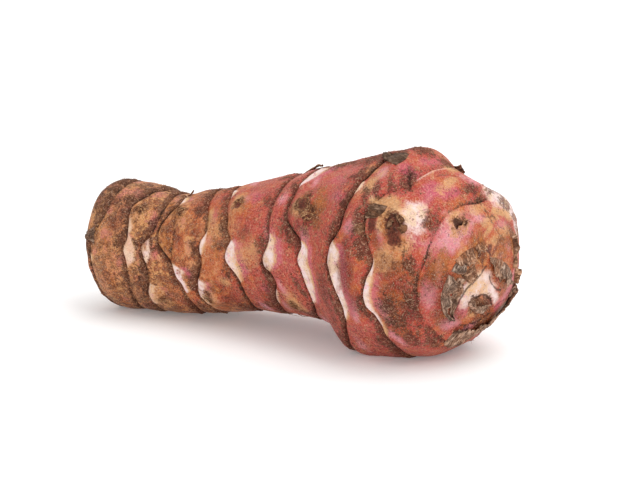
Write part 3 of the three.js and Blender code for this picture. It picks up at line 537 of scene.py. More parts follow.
# %% Patches with a place of their own
PATCHES = {
    "scar": [
        (93, 232, 2, 1.4, 40, 0.8), (70, 322, 1.6, 1.2, 0, 0.8), (24, 250, 1.5, 1.7, 0, 0.9),
        (38, 300, 1.5, 1.5, 0, 0.9), (52.6, 235, 1.8, 1.6, 0, 0.9), (64, 300, 2, 1.6, 0, 0.9),
        (82, 225, 3, 3, 0, 0.8), (84.6, 57, 5.6, 2.2, 78, 0.8), (102.6, 270, 3, 3.4, 0, 0.8),
        (110, 56, 1.6, 1, -15, 0.9), (111, 64, 2.5, 1, 80, 0.55), (116, 210, 2.4, 2, 0, 0.9),
        (117.9, 66, 1.2, 1.2, 0, 0.7),
    ],
    "white": [
        (108.6, 49, 1.6, 0.7, 30, 0.8), (114.2, 61, 1.2, 1, 85, 1), (115.6, 51, 1.6, 0.5, 60, 0.8),
        (119, 47.6, 4, 2.6, 60, 1), (119, 48.6, 3, 1.6, 70, 0.7), (134.6, 139, 2.2, 1.6, -60, 0.9),
        (137.6, 134, 2.2, 1.8, 0, 0.8), (131.8, 222, 1.8, 1.3, 0, 1), (121.6, -24, 2.6, 1.8, -60, 1),
        (122.4, -32, 4.6, 2.6, 90, 1), (123.2, -48, 3.6, 2, 90, 1), (124.2, -62, 2.6, 1.2, 90, 0.9),
        (134, 222, 2.4, 1.6, 10, 1), (136.4, 215, 2.6, 2, 0, 1), (134.6, 150, 2, 1.4, 0, 0.9),
        (137, 160, 2, 1.2, -80, 1), (138.6, 215, 2.4, 2.4, 0, 1), (139.4, 165, 2.4, 2, 45, 1),
        (122.8, -38, 4.4, 1.6, 88, 1),
    ],
    "cream": [
        (29, -12, 2, 1.6, 0, 0.8), (53, 50, 1, 3, 0, 0.7), (56, 110, 2, 1.2, 30, 0.7),
        (101, 28, 2, 1, 0, 0.6), (26, 232, 2, 3, 0, 0.6), (113.4, 57, 1.1, 2.8, 0, 1),
        (108.6, 49, 1.4, 1.2, 0, 1), (104, 38, 4, 2, -60, 0.7), (84.5, 10, 3, 1.2, 0, 0.6),
        (40, 285, 2, 3, 0, 0.6), (104, 250, 3, 4, 0, 0.6), (110.5, 48, 3, 1.6, -20, 0.9),
        (114, 46, 3, 1.6, 10, 0.9), (116.6, 78, 3.4, 3, 0, 0.8), (114.2, 58.5, 2.8, 1.3, 90, 1),
        (136, 8, 3, 0.6, 0, 0.8), (135.4, -60, 1.2, 0.7, 0, 0.8), (108, 65, 1.4, 1.4, 0, 0.8),
        (119.4, 69, 3, 2.2, 0, 0.6), (114.6, -2, 2.6, 1.3, 80, 0.9), (128.2, 25, 2.8, 2.5, 0, 1),
        (57, 64, 6, 5, 0, 0.45), (66, 84, 6, 4, 0, 0.4), (126.4, -6, 4, 1.8, 80, 0.6),
        (129, -20, 4, 2, 60, 0.6), (129.6, -44, 3, 1.6, 70, 0.6), (118.8, 8, 4.4, 1.5, 82, 0.75),
        (137, 190, 5, 4, 0, 0.35), (125.4, -44, 3, 0.9, 75, 0.9), (127.4, -58, 4, 0.9, 60, 0.9),
        (129.6, -50, 3.4, 0.8, 40, 0.8), (128, -76, 3, 1, 80, 0.8), (131.5, -20, 3, 0.8, 30, 0.8),
        (133, -40, 3.2, 1.4, 50, 0.7), (126.4, -30, 3, 0.8, 80, 0.9),
    ],
    "pink": [
        (56, 290, 2, 5, 0, 0.4), (60, 260, 2.4, 4, 0, 0.5), (70, 280, 3, 6, 0, 0.5),
        (90, 300, 5, 6, 0, 0.6), (92, 190, 5, 6, 0, 0.4), (101, 310, 3, 5, 0, 0.5),
        (109.6, 300, 4, 6, 0, 0.6), (117, 240, 4, 5, 0, 0.7), (129, 34, 7, 3.6, 90, 1),
        (128, 52, 3.4, 2.2, 90, 0.9), (133.9, -68, 1.2, 0.8, 0, 0.9), (119, -12, 3, 2, 80, 0.7),
        (128, 240, 3, 6, 0, 0.6),
    ],
    "magenta": [
        (94, 48, 3, 1.6, 0, 0.6), (111, 24, 3, 1.6, 0, 0.6), (34, 52, 3, 1.2, 80, 0.5),
        (55, 46, 1.2, 3, 0, 0.5), (60.6, 100, 2, 1.2, 80, 0.6), (66, 36, 3.5, 1.6, 55, 0.5),
        (69, 118, 2, 1.4, 0, 0.5), (90, 34, 4, 1.6, 20, 0.4), (112, 8, 4, 1.2, -80, 0.6),
        (118.4, 25, 3.4, 2.2, -75, 1), (120.5, 15, 3, 1.6, 85, 1), (122.5, 62, 2.2, 1.4, 80, 0.5),
        (132.6, 152, 2.6, 1.6, -60, 0.8),
    ],
    "bud": [
        (117.1, 55.6, 1.9, 1.7, 0, 1), (117.7, 64.4, 1.9, 1.4, 90, 0.9), (128.2, 25, 1.6, 1.5, 0, 1),
        (83, 52, 1.6, 1.1, 60, 0.8), (61.5, 43.4, 0.9, 0.8, 0, 0.8), (110.6, 60, 2.4, 1.1, 80, 0.8),
        (135.3, -32, 1.3, 1, 0, 0.9), (102.8, 270, 1.4, 1.3, 0, 0.8),
    ],
    "shade": [
        (65, 250, 5, 3, 0, 0.7), (78, 322, 6, 3, 20, 0.7), (95, 290, 6, 4, 70, 0.7),
        (95, 214, 6, 4, 0, 0.8), (112, 252, 5, 5, 0, 0.7), (113, 330, 5, 4, 0, 0.6),
        (50, 280, 4, 3, 60, 0.7), (50, 222, 3, 3, 0, 0.7), (30, 320, 3, 5, 0, 0.7), (22, 200, 3, 5, 0, 0.8),
        (17.2, 24, 2, 3.4, 0, 0.8), (17.5, 8, 2, 3, 0, 0.9), (22.6, 37, 2.4, 2.6, 0, 0.7),
        (24, 61, 2, 3, 0, 0.7), (20, 0, 3, 5, 0, 0.6), (25, 46, 4, 1.6, 78, 0.7),
        (31.8, 116, 2.5, 1.4, 70, 0.6), (33.8, 70, 1.6, 1.2, 0, 0.6), (41.5, 55, 2.6, 1.4, 75, 0.6),
        (44, 69, 2, 1.4, 70, 0.5), (49.2, 60, 2.8, 1.5, 80, 0.7), (55, 140, 8, 2, 90, 0.5),
        (65, 69, 2.2, 2, 0, 0.6), (70.5, 100, 5, 1.8, 85, 0.6), (79, 60, 5, 1.2, 85, 0.6),
        (82.4, 65, 2.6, 1.6, 80, 0.7), (96, 104, 9, 2.4, -88, 0.9), (99, 52, 4, 1.8, 75, 0.5),
        (105, 90, 8, 2.2, 88, 1), (107.4, 106, 4, 2.2, 70, 0.8), (108, 52, 2.4, 1.4, 20, 0.5),
        (113.2, 69, 2.4, 1.5, 60, 0.8), (116.5, 80, 3, 2.5, 0, 0.5), (120, 92, 6, 4, 75, 0.6),
        (116.2, 114, 4, 2.6, 80, 0.6), (122.6, 114, 5, 3.4, 80, 0.7), (127, 83, 3, 1, 85, 0.7),
        (128, 97, 3.4, 2.6, 80, 0.6), (129.4, 126, 3, 2.4, 80, 0.8), (132.4, 89, 1.8, 1.5, 0, 0.8),
        (122, -8, 2, 2, 0, 0.8), (127, -60, 3, 2, 90, 0.5), (136.6, -16, 3, 0.5, 0, 1),
        (135.6, 3, 3, 0.4, 0, 0.9), (134, -48, 3, 0.5, 0, 0.9), (130.4, 152, 2.4, 2, 0, 0.4),
        (131.2, 100, 2, 3.4, 0, 0.8), (129.6, 122, 2.2, 5, 0, 0.9), (104, 200, 6, 8, 0, 0.4),
        (86, 180, 8, 4, 80, 0.4),
    ],
    "stain": [
        (70, 232, 4, 3, 40, 0.8), (92, 322, 4, 3, 0, 0.7), (112, 292, 5, 4, 0, 0.7),
        (60, 302, 3, 3, 0, 0.7), (78, 262, 4, 3, 0, 0.6), (102, 190, 5, 3, 0, 0.7), (20, 290, 3, 4, 0, 0.8),
        (8, 120, 4, 4, 0, 0.6), (121, 86, 4.5, 3, 75, 0.5), (120.5, 104, 4, 3, 80, 0.6),
        (118.5, 122, 3, 2.4, 0, 0.5), (124, 92, 2, 4, 0, 0.4), (26, 255, 3, 3, 0, 0.5),
        (54, 245, 2.6, 3, 0, 0.6), (84, 235, 4, 4, 0, 0.6), (87.4, 55, 5.4, 2.6, 72, 0.9),
        (106, 262, 4, 4, 0, 0.7), (120, 220, 4, 4, 0, 0.6), (136, -3, 3.6, 1, 0, 1),
        (134.4, 12, 2.6, 0.9, 0, 0.9), (133, -64, 3, 2, 0, 0.9), (137, -26, 3, 0.8, 0, 0.9),
        (128, -68, 3, 2.2, 80, 0.9), (130.6, -58, 3, 1.8, 60, 0.8), (128.2, 25, 1.7, 1.5, 0, 1),
        (117, 58, 2, 1.7, 0, 0.9), (117.6, 64, 2, 1.8, 0, 1), (130, 69, 3.5, 2, 55, 0.9),
        (129, 78, 3.5, 3, 70, 0.8), (130.4, 80, 3, 2.2, 80, 0.9), (131, 250, 2, 5, 0, 0.7),
    ],
    "soil": [
        (75, 292, 4, 2, 70, 0.8), (88, 262, 4, 2.4, 30, 0.8), (100, 302, 4, 2.6, 80, 0.8),
        (66, 212, 4, 2, 0, 0.7), (111, 186, 5, 3, 0, 0.7), (56, 330, 3, 2, 0, 0.8),
        (40, 250, 3, 2, 60, 0.8), (26, 290, 3, 3, 0, 0.8), (120, 330, 4, 2, 60, 0.7),
        (30, 265, 2, 3, 0, 0.6), (46, 200, 2, 3, 0, 0.6), (60, 190, 2, 4, 0, 0.5), (70, 350, 4, 3, 0, 0.5),
        (84, 250, 3, 3, 0, 0.6), (92, 340, 5, 4, 0, 0.5), (97.5, 33, 2.5, 1.6, -20, 0.6),
        (86, 8, 4, 3, 0, 0.8), (92, 10, 4, 3, 0, 0.8), (98, 14, 4, 3.4, 0, 0.8), (104, 10, 3, 3, 0, 0.8),
        (108, 4, 3, 2.4, 0, 1), (108, 230, 3, 4, 0, 0.6), (112.6, 28, 2, 1.2, 60, 0.8),
        (104.4, 45, 2.6, 0.9, 60, 0.8), (106.4, 60, 2.4, 1.6, 70, 0.8), (109.6, 73, 3, 1.6, 80, 0.9),
        (107.4, 41, 3, 1, 60, 0.8), (110.2, 36, 2.6, 0.9, 60, 0.8), (122, 300, 3, 4, 0, 0.5),
        (117.6, 112, 4, 2.2, 80, 0.8), (120, 132, 4, 2.4, 80, 0.8), (129, 190, 2.4, 4, 0, 0.6),
        (133.4, 180, 2, 1.6, 0, 1), (132.4, 204, 2.4, 2, 0, 0.9),
    ],
}

# %% [markdown]
# ## Patches that follow the rings and eyes
#
# On the real thing soil gathers just before a ring, and the young skin past it is still pink. Each eye is
# ringed by bark, a yellow halo and a rusty stain. So the rest of the patches grow by rule, a few to each
# ring and four to each eye, with sizes drawn at random from a fixed seed. Listing them all would say no
# more than this.

# %% Patches at every ring and eye
PATCH_SEED = 61
RING_PATCH_STEP, RING_PATCH_JITTER = 36, 9  # degrees between two patches on a ring, and how far they stray
FIRST_PINK_RING = 5  # the rings before it are on the old, brown end
EYE_PATCHES = (  # kind, half length, half width, strength
    ("scar", 1.6, 1.4, 0.8), ("cream", 3, 2.2, 0.8), ("stain", 2.6, 1.9, 0.8), ("cream", 2.4, 1.4, 0.7))


def ring_place(ring, turn):
    """How far along the outline a ring runs, at a turn round the tuber."""
    turns, places = zip(*ring["path"])
    return np.interp(turn, turns, places, period=360)


def add_ring_patches(patches, pick):
    """Soil just before each ring. Past it comes pink on the young end, and orange stain on the old end."""
    for number, ring in enumerate(RINGS):
        strays = pick.uniform(-RING_PATCH_JITTER, RING_PATCH_JITTER, 360 // RING_PATCH_STEP)
        for turn in np.arange(0, 360, RING_PATCH_STEP) + strays:
            edge = ring_place(ring, turn)
            patches["soil"].append((edge - pick.uniform(0, 3), turn, pick.uniform(1.6, 3.4),
                                    pick.uniform(0.9, 1.8), pick.uniform(60, 95), pick.uniform(0.6, 0.9)))
            kind = "pink" if number >= FIRST_PINK_RING else "stain"
            patches[kind].append((edge + pick.uniform(2, 6), turn, pick.uniform(1.6, 3.6),
                                  pick.uniform(1, 1.9), pick.uniform(50, 90), pick.uniform(0.5, 0.9)))


def add_eye_patches(patches, pick):
    """Corky bark over each eye, with a cream halo and an orange stain round it."""
    for along_eye, around_eye, *_ in EYES:
        for kind, half_length, half_width, strength in EYE_PATCHES:
            spot = (along_eye + pick.uniform(-1.5, 1.5), around_eye + pick.uniform(-7, 7))
            patches[kind].append((*spot, half_length, half_width, pick.uniform(50, 90), strength))


patch_picker = np.random.default_rng(PATCH_SEED)
add_ring_patches(PATCHES, patch_picker)
add_eye_patches(PATCHES, patch_picker)
print("patches:", {kind: len(rows) for kind, rows in PATCHES.items()})

# %% Turn patches into one number per point
def surface_axes(centre_along, centre_around):
    """The patch's middle, and its directions along, round and out of the skin there."""
    spots = body_point(np.array([centre_along, centre_along + 0.3, centre_along]),
                       np.array([centre_around, centre_around, centre_around + 1.5]))
    forward = spots[1] - spots[0]
    forward /= np.linalg.norm(forward)
    sideways = spots[2] - spots[0]
    outward = np.cross(forward, sideways)
    outward /= np.linalg.norm(outward)
    return spots[0], forward, np.cross(outward, forward), outward


def patch_mask(patch, ragged, soft):
    """1 inside a patch, 0 outside, with an edge broken up by noise."""
    centre_along, centre_around, half_long, half_wide, turn, strength = patch
    centre, forward, sideways, outward = surface_axes(centre_along, centre_around)
    offset = plain - centre
    u, v, w = offset @ forward, offset @ sideways, offset @ outward
    c, s = math.cos(math.radians(turn)), math.sin(math.radians(turn))
    distance = np.sqrt(((u * c + v * s) / half_long) ** 2 + ((v * c - u * s) / half_wide) ** 2)
    near = np.abs(w) < half_long + half_wide + 6
    return (0.25 + 0.75 * strength) * near * smooth_step(1 + soft, 1 - soft, distance + ragged)


PATCH_SOFTNESS = dict(scar=0.6, bud=0.6, cream=0.85, white=0.85, pink=0.85, magenta=0.9, shade=0.95,
                      stain=0.9, soil=0.85)
ragged_edge = 0.42 * noise(plain, 2.4, 31) + 0.25 * noise(plain, 1.1, 32)
finish = {}
for kind, patches in PATCHES.items():
    finish[kind] = np.max([patch_mask(patch, ragged_edge, PATCH_SOFTNESS[kind]) for patch in patches], axis=0)

# %% [markdown]
# ## Finishes that belong to the rings
#
# Pale skin lies just past a ring with a hard edge at the ring itself, then fades into pink. Soil and dead
# tissue cling just before a ring. The dark line at the ring is the shadowed gap where the scale leaf sat.

# %% Fresh skin, soil and creases by the rings
edge_noise = 0.16 * noise(plain, 1.6, 41) + 0.08 * noise(plain, 0.7, 42)
fresh_edge = fresh_width * (1 + edge_noise)
fresh = smooth_step(fresh_edge + 0.6, fresh_edge - 0.6, past_ring) * smooth_step(0.2, 0.9, fresh_width)
fresh *= smooth_step(-0.05, 0.12, past_ring)
finish["white"] = np.maximum(finish["white"], fresh)
young = 0.25 + 0.75 * smooth_step(28, 46, along)
after_fresh = smooth_step(fresh_width + 4.5, fresh_width + 0.4, past_ring) * smooth_step(0.8, 2.6,
                                                                                         fresh_width)
finish["pink"] = np.maximum(finish["pink"], 0.6 * young * after_fresh)
beyond = past_ring - fresh_width
band = smooth_step(0, 0.8, beyond) * smooth_step(3.6, 1.4, beyond) * smooth_step(1, 2.6, fresh_width)
finish["magenta"] = np.maximum(finish["magenta"], 0.75 * young * band)
gold = bell(beyond - 0.1, 0.7) * smooth_step(0.3, 0.9, fresh_width) * (0.55 + 0.7 * noise(plain, 3, 48))
finish["cream"] = np.maximum(finish["cream"], gold)
patchy = 1 + 0.55 * noise(plain, 4.5, 44)
ring_soil = 1.1 * clear_ahead * np.exp(-(np.maximum(before_ring, 0) / np.maximum(0.85 * soil_width * patchy,
                                                                                 0.2)) ** 1.3)
past_soil = 0.7 * clear_behind * np.exp(-np.maximum(past_ring, 0) / 0.5) * (0.6 + 0.6 * noise(plain, 3, 47))
ring_soil = np.maximum(ring_soil, past_soil) * (1 - 0.8 * np.minimum(1.6 * finish["white"], 1))
finish["soil"] = np.maximum(finish["soil"], ring_soil) * (1 - fresh)
# Painted shade: the dark line along each ring and fold, where the gap lies in shadow.
line_width = 0.18 + 0.08 * noise(plain, 2, 43)
line_strength = np.clip(0.55 + 0.7 * noise(plain, 6, 45) + 0.3 * noise(plain, 2.2, 46), 0, 1)
crease = np.maximum(clear_ahead * bell(before_ring, line_width * 2),
                    clear_behind * bell(past_ring, line_width * (1 - 0.5 * fresh)))
beside_fresh = smooth_step(0.4, 2, fresh_width) * bell(past_ring, 1)
beside_fresh = np.maximum(beside_fresh, smooth_step(0.4, 2,
        ring_width("fresh", band_of + 1)) * bell(before_ring, 1))
finish["crease"] = np.maximum(crease * line_strength * (1 - 0.65 * beside_fresh), fold_crease)
# Painted shade in each eye's pit and in the groove round its bud.
for eye in EYES:
    distance, collar, groove = from_eye(eye)
    pit = 1.6 * smooth_step(0.42, 0.26, distance / eye[2]) * smooth_step(1, 2, eye[4] - eye[5])
    finish["crease"] = np.maximum(finish["crease"],
                                  np.maximum(pit, 0.9 * groove * smooth_step(1, 1.6, eye[5])))
    finish["cream"] = np.maximum(finish["cream"], 0.9 * collar * smooth_step(1, 2, eye[4]))
wound = (along < 20) * smooth_step(9, 6, radius + 1.6 * noise(plain, 2.5, 52))
finish["scar"] = np.maximum(finish["scar"], 0.85 * wound)
# Painted shade in the groove round the broken end's scar.
finish["crease"] = np.maximum(finish["crease"],
                              (along < 20) * 0.9 * bell(radius - 7.4 + noise(plain, 2.5, 52), 0.5))
print("share of skin that is fresh:", round(float((finish["white"] > 0.5).mean()), 3))

# %% The tone of the bare skin, its grime, and painted shade underneath
TONE = [(0, 0.05), (22, 0.12), (34, 0.26), (44, 0.42), (56, 0.62), (70, 0.85), (90, 0.95), (110, 0.85),
        (126, 0.75),
        (OUTLINE_LENGTH, 0.5)]
finish["tone"] = np.clip(through(TONE, along) + 0.3 * rough_noise(plain, 9, 51), 0, 1)
# Painted shade: the grime number rises on the underside, so the skin darkens there as it would in shadow.
underside_shade = smooth_step(0.2, -0.9, np.cos(np.radians(around)) * np.minimum(radius / 8, 1))
near_ring = np.exp(-np.maximum(before_ring, 0) / 3)
finish["grime_and_shade"] = np.clip(0.18 + 0.3 * underside_shade + 0.3 * near_ring + 0.4 * rough_noise(plain, 6, 55)
                          + 0.22 * smooth_step(50, 30, along) - 0.2 * smooth_step(102, 112, along)
                          - 0.3 * finish["pink"] - 0.3 * finish["cream"], 0, 1) * (1 - 0.8 * finish["white"])

# %% Raise and roughen the skin
swelling = sum(height * bell(along - a, w) * bell(turn_between(around, b), turn)
               for a, b, w, turn, height in SWELLINGS) * np.minimum(radius / 8, 1)
dents = 0.28 * rough_noise(plain, 7, 61) + 0.14 * noise(plain, 2.6, 64)
streaks = noise(np.stack([along / 5, np.cos(np.radians(around)) * radius,
                          np.sin(np.radians(around)) * radius],
                         -1), 1.5, 65)
puckers = 0.1 * streaks * (0.3 + bell(before_ring, 2.4))
grit = finish["soil"] * (0.16 * np.abs(noise(plain, 0.9, 66)) + 0.08 * noise(plain, 0.6, 67))
corky = finish["scar"] * 0.2 * noise(plain, 0.9, 68)
relief = swelling + ring_relief() + eye_relief() + fold_relief + dents + puckers + grit + corky
spokes = noise(np.stack([6 * np.cos(np.radians(around)), 6 * np.sin(np.radians(around)), radius / 9], -1),
               1.4, 53)
wrinkles = 0.9 * spokes * smooth_step(2, 7, radius) * smooth_step(16, 12, radius) + 0.5 * rough_noise(plain,
        2.2, 54) * wound
scar_push = SCAR_DEPTH * bell(radius, SCAR_RADIUS) - STUB_HEIGHT * bell(radius, STUB_RADIUS)
scar_push = np.where(along < 20, scar_push - 0.5 * bell(radius - 8.4, 1.2) + wrinkles, 0)
skin = body_point(along, around, relief, scar_push)
skin[:, 2] = np.maximum(skin[:, 2], 0)
off_floor = smooth_step(0.8, 1.8, skin[:, 2])
finish["crumbs"] = np.clip(finish["soil"] + 0.4 * finish["scar"] + 0.3 * finish["crease"], 0, 1)
finish["crumbs"] *= smooth_step(-0.1, 0.6, noise(plain, 2.5, 41)) * (1 + 7 * bell(turn_between(around, 0),
                                                                                  12))
finish["crumbs"] *= off_floor
finish["fibres"] = np.clip(0.8 * finish["crease"] + 0.3 * finish["soil"] + 0.5 * finish["scar"], 0, 1)
finish["fibres"] *= smooth_step(-0.1, 0.5, noise(plain, 4, 42)) * (1 + 3 * bell(turn_between(around, 0), 14))
finish["fibres"] *= off_floor
print("skin spans", skin.min(0).round(1), "to", skin.max(0).round(1), "mm")

# %% Build the tuber's mesh
def ring_grid_faces(rows, columns):
    """Quads between rows that go once round, and a fan of triangles at either end."""
    first = 1 + np.arange(columns)
    after = 1 + (np.arange(columns) + 1) % columns
    shift = (np.arange(rows - 1) * columns)[:, None]
    quads = np.stack([first + shift, after + shift, after + shift + columns, first + shift + columns], -1)
    last = (rows - 1) * columns
    top = 1 + rows * columns
    fans = [(0, b, a) for a, b in zip(first, after)] + [(top, a + last, b + last) for a,
                                                        b in zip(first, after)]
    return [tuple(quad) for quad in quads.reshape(-1, 4).tolist()] + fans


def wrap_map(mesh, columns):
    """A flat map of the skin: degrees round against distance along, with its seam at 0 degrees."""
    layer = mesh.uv_layers.new(name="OFBake")
    index = np.empty(len(mesh.loops), np.int64)
    mesh.loops.foreach_get("vertex_index", index)
    poly_of = np.repeat(np.arange(len(mesh.polygons)), [p.loop_total for p in mesh.polygons])
    u = around[index] / 360
    low = np.full(len(mesh.polygons), 2.0)
    high = np.zeros(len(mesh.polygons))
    inside = (index > 0) & (index < len(mesh.vertices) - 1)
    np.minimum.at(low, poly_of[inside], u[inside])
    np.maximum.at(high, poly_of[inside], u[inside])
    crosses = (high - low)[poly_of] > 0.5
    u = np.where(crosses & (u < 0.5), u + 1, u)
    u = np.where(inside, u, low[poly_of] + 0.5 / columns)
    layer.data.foreach_set("uv", np.stack([u * 0.98 + 0.005, along[index] / OUTLINE_LENGTH * 0.98 + 0.01],
                                          -1).ravel().astype(np.float32))


def make_tuber():
    mesh = bpy.data.meshes.new("tuber_skin")
    mesh.from_pydata((skin * MM).tolist(), [], ring_grid_faces(ROWS, COLUMNS))
    wrap_map(mesh, COLUMNS)
    for kind, values in finish.items():
        layer = mesh.attributes.new(kind, "FLOAT", "POINT")
        layer.data.foreach_set("value", np.clip(values, 0, 1).astype(np.float32))
    mesh.shade_smooth()
    tuber = bpy.data.objects.new("tuber_skin", mesh)
    bpy.context.scene.collection.objects.link(tuber)
    return tuber


tuber = make_tuber()
signed = bmesh.new()
signed.from_mesh(tuber.data)
print("tuber:", len(tuber.data.polygons), "faces, volume", round(signed.calc_volume(signed=True) * 1e6, 1),
      "cm3")
signed.free()

# %% [markdown]
# ## Node helpers
#
# Materials are graphs of nodes. A few short helpers keep the graphs readable: one adds a node with its inputs
# filled in or linked, and the others wrap the nodes that are used most. Patterns that several materials share
# are node groups. A group gives out only a mask, a value or a colour; the shader stays in the material.

# %% Helpers for node trees
def add_node(tree, kind, inputs=None, **settings):
    """A new node; inputs maps an input's name or number to a value, or to a socket to link it to."""
    made = tree.nodes.new(kind)
    for name, value in settings.items():
        setattr(made, name, value)
    for key, value in (inputs or {}).items():
        if isinstance(value, bpy.types.NodeSocket):
            tree.links.new(value, made.inputs[key])
        else:
            made.inputs[key].default_value = value
    return made


def calc(tree, operation, a, b=0.0, c=0.0):
    return add_node(tree, "ShaderNodeMath", {0: a, 1: b, 2: c}, operation=operation).outputs[0]


def mix(tree, factor, a, b, blend="MIX"):
    """Colour a turning into colour b by factor."""
    a, b = ((*v, 1) if isinstance(v, tuple) else v for v in (a, b))
    made = add_node(tree, "ShaderNodeMix", {0: factor, 6: a, 7: b}, data_type="RGBA", blend_type=blend)
    return made.outputs[2]


def ramp(tree, low, high, value):
    """0 below low, 1 above high, with a smooth rise between."""
    made = add_node(tree, "ShaderNodeMapRange", {"Value": value, "From Min": low, "From Max": high},
                    interpolation_type="SMOOTHSTEP")
    return made.outputs[0]


def lumps(tree, place, size, detail=2.0, rough=0.5):
    """Noise from 0 to 1 with lumps about size millimetres across."""
    made = add_node(tree, "ShaderNodeTexNoise", {"Vector": place, "Scale": 1 / size, "Detail": detail,
                                                 "Roughness": rough})
    return made.outputs["Fac"]


def attribute(tree, name):
    return add_node(tree, "ShaderNodeAttribute", attribute_name=name).outputs["Fac"]


def place_in_mm(tree):
    """The shaded point in the object's own coordinates, in millimetres."""
    local = add_node(tree, "ShaderNodeTexCoord").outputs["Object"]
    return add_node(tree, "ShaderNodeVectorMath", {0: local, "Scale": 1 / MM}, operation="SCALE").outputs[0]


def new_group(name, inputs, outputs):
    """An empty shader node group with named inputs (name: (kind, value)) and outputs (name: kind)."""
    group = bpy.data.node_groups.new(name, "ShaderNodeTree")
    for label, (kind, value) in inputs.items():
        socket = group.interface.new_socket(label, in_out="INPUT", socket_type=kind)
        if value is not None:
            socket.default_value = value
    for label, kind in outputs.items():
        group.interface.new_socket(label, in_out="OUTPUT", socket_type=kind)
    given, out = group.nodes.new("NodeGroupInput"), group.nodes.new("NodeGroupOutput")
    return group, given.outputs, out.inputs


def grouped(tree, group, inputs, output):
    """The named output of a group with these inputs."""
    made = tree.nodes.new("ShaderNodeGroup")
    made.node_tree = group
    for key, value in inputs.items():
        if isinstance(value, bpy.types.NodeSocket):
            tree.links.new(value, made.inputs[key])
        else:
            made.inputs[key].default_value = value
    return made.outputs[output]


# %% Shared patterns
FLOAT, VECTOR = "NodeSocketFloat", "NodeSocketVector"


def build_grain():
    """Four sizes of noise, spread out to fill 0 to 1, that every layer of a finish can share."""
    group, given, out = new_group("grain", {"Place": (VECTOR, None)}, {
        "Tiny": FLOAT, "Fine": FLOAT, "Medium": FLOAT, "Broad": FLOAT})
    for label, size, detail in (("Tiny", 0.24, 0.0), ("Fine", 0.45, 1.0), ("Medium", 1.2, 3.0),
                                ("Broad", 3.6, 3.0)):
        spread = add_node(group, "ShaderNodeMapRange", {
            "Value": lumps(group, given["Place"], size, detail,
                           0.6), "From Min": 0.28, "From Max": 0.72}).outputs[0]
        group.links.new(spread, out[label])
    return group


def build_ragged():
    """A soft mask turned into a crisper one whose edge is scattered by two sizes of grain."""
    group, given, out = new_group("ragged edge", {
        "Mask": (FLOAT, 0.5), "Grain A": (FLOAT, 0.5), "Grain B": (FLOAT, 0.5), "Scatter A": (FLOAT, 0.3),
        "Scatter B": (FLOAT, 0.3), "Softness": (FLOAT, 0.12)}, {"Mask": FLOAT})
    shift_a = calc(group, "MULTIPLY", calc(group, "SUBTRACT", given["Grain A"], 0.5), given["Scatter A"])
    shift_b = calc(group, "MULTIPLY", calc(group, "SUBTRACT", given["Grain B"], 0.5), given["Scatter B"])
    moved = calc(group, "ADD", given["Mask"], calc(group, "ADD", shift_a, shift_b))
    low = calc(group, "SUBTRACT", 0.5, given["Softness"])
    high = calc(group, "ADD", 0.5, given["Softness"])
    crisp = add_node(group, "ShaderNodeMapRange", {"Value": moved, "From Min": low, "From Max": high},
                     interpolation_type="SMOOTHSTEP").outputs[0]
    present = ramp(group, 0.03, 0.2, given["Mask"])
    group.links.new(calc(group, "MULTIPLY", crisp, present), out["Mask"])
    return group


def build_specks():
    """Specks: small cells of which only some are filled, drawn out a little round the tuber."""
    group, given, out = new_group("specks", {
        "Place": (VECTOR, None), "Size": (FLOAT, 0.5), "Amount": (FLOAT, 0.5)}, {"Mask": FLOAT})
    bent = add_node(group, "ShaderNodeTexNoise", {"Vector": given["Place"], "Scale": 1.4, "Detail": 3.0})
    bend = add_node(group, "ShaderNodeVectorMath", {0: bent.outputs["Color"], "Scale": 0.7},
                    operation="SCALE")
    place = add_node(group, "ShaderNodeVectorMath", {0: given["Place"], 1: bend.outputs[0]}, operation="ADD")
    drawn = add_node(group, "ShaderNodeVectorMath", {0: place.outputs[0], 1: (1.25, 0.85, 0.85)},
                     operation="MULTIPLY")
    cells = add_node(group, "ShaderNodeTexVoronoi", {
        "Vector": drawn.outputs[0], "Scale": calc(group, "DIVIDE", 1.0, given["Size"]), "Randomness": 1.0})
    chance = add_node(group, "ShaderNodeSeparateColor", {0: cells.outputs["Color"]}).outputs[0]
    filled = ramp(group, 0.0, 0.25, calc(group, "SUBTRACT", given["Amount"], chance))
    round_spot = ramp(group, 0.5, 0.2, cells.outputs["Distance"])
    group.links.new(calc(group, "MULTIPLY", filled, round_spot), out["Mask"])
    return group


GRAIN, RAGGED, SPECKS = build_grain(), build_ragged(), build_specks()
print("node groups:", [group.name for group in bpy.data.node_groups])

# %% [markdown]
# ## The tuber's skin
#
# The colours are laid on in the order in which they came about. First the bare skin, from tan to crimson,
# with corky specks of two sizes. Then rosy and pale young skin, yellow halos round the eyes, orange stains,
# a grime wash that is thicker underneath, where it is painted shade, and corky scars. Last come soil and the
# dark line in each crease, which is painted shade. Each layer's mask is a number painted on the mesh and then
# torn by fine noise, so an edge has far more detail than the mesh has points.

# %% Skin material
TAN, OCHRE, BROWN_RED, CRIMSON, ROSY = ((0.61, 0.24, 0.095), (0.7, 0.34, 0.12), (0.53, 0.12, 0.03),
                                        (0.5, 0.064, 0.038), (0.56, 0.09, 0.075))
PINK, MAGENTA, PALE_PINK, WHITE, CREAM = ((0.74, 0.2, 0.245), (0.6, 0.1, 0.15), (0.86, 0.44, 0.5),
                                          (0.85, 0.67, 0.64), (0.77, 0.46, 0.22))
IVORY = (0.8, 0.56, 0.4)
OLD_WHITE, ORANGE, DEEP_ORANGE = (0.76, 0.44, 0.29), (0.54, 0.17, 0.032), (0.26, 0.07, 0.016)
SCAR_DARK, SCAR_BROWN, SCAR_PALE = (0.06, 0.02, 0.011), (0.28, 0.1, 0.04), (0.66, 0.4, 0.2)
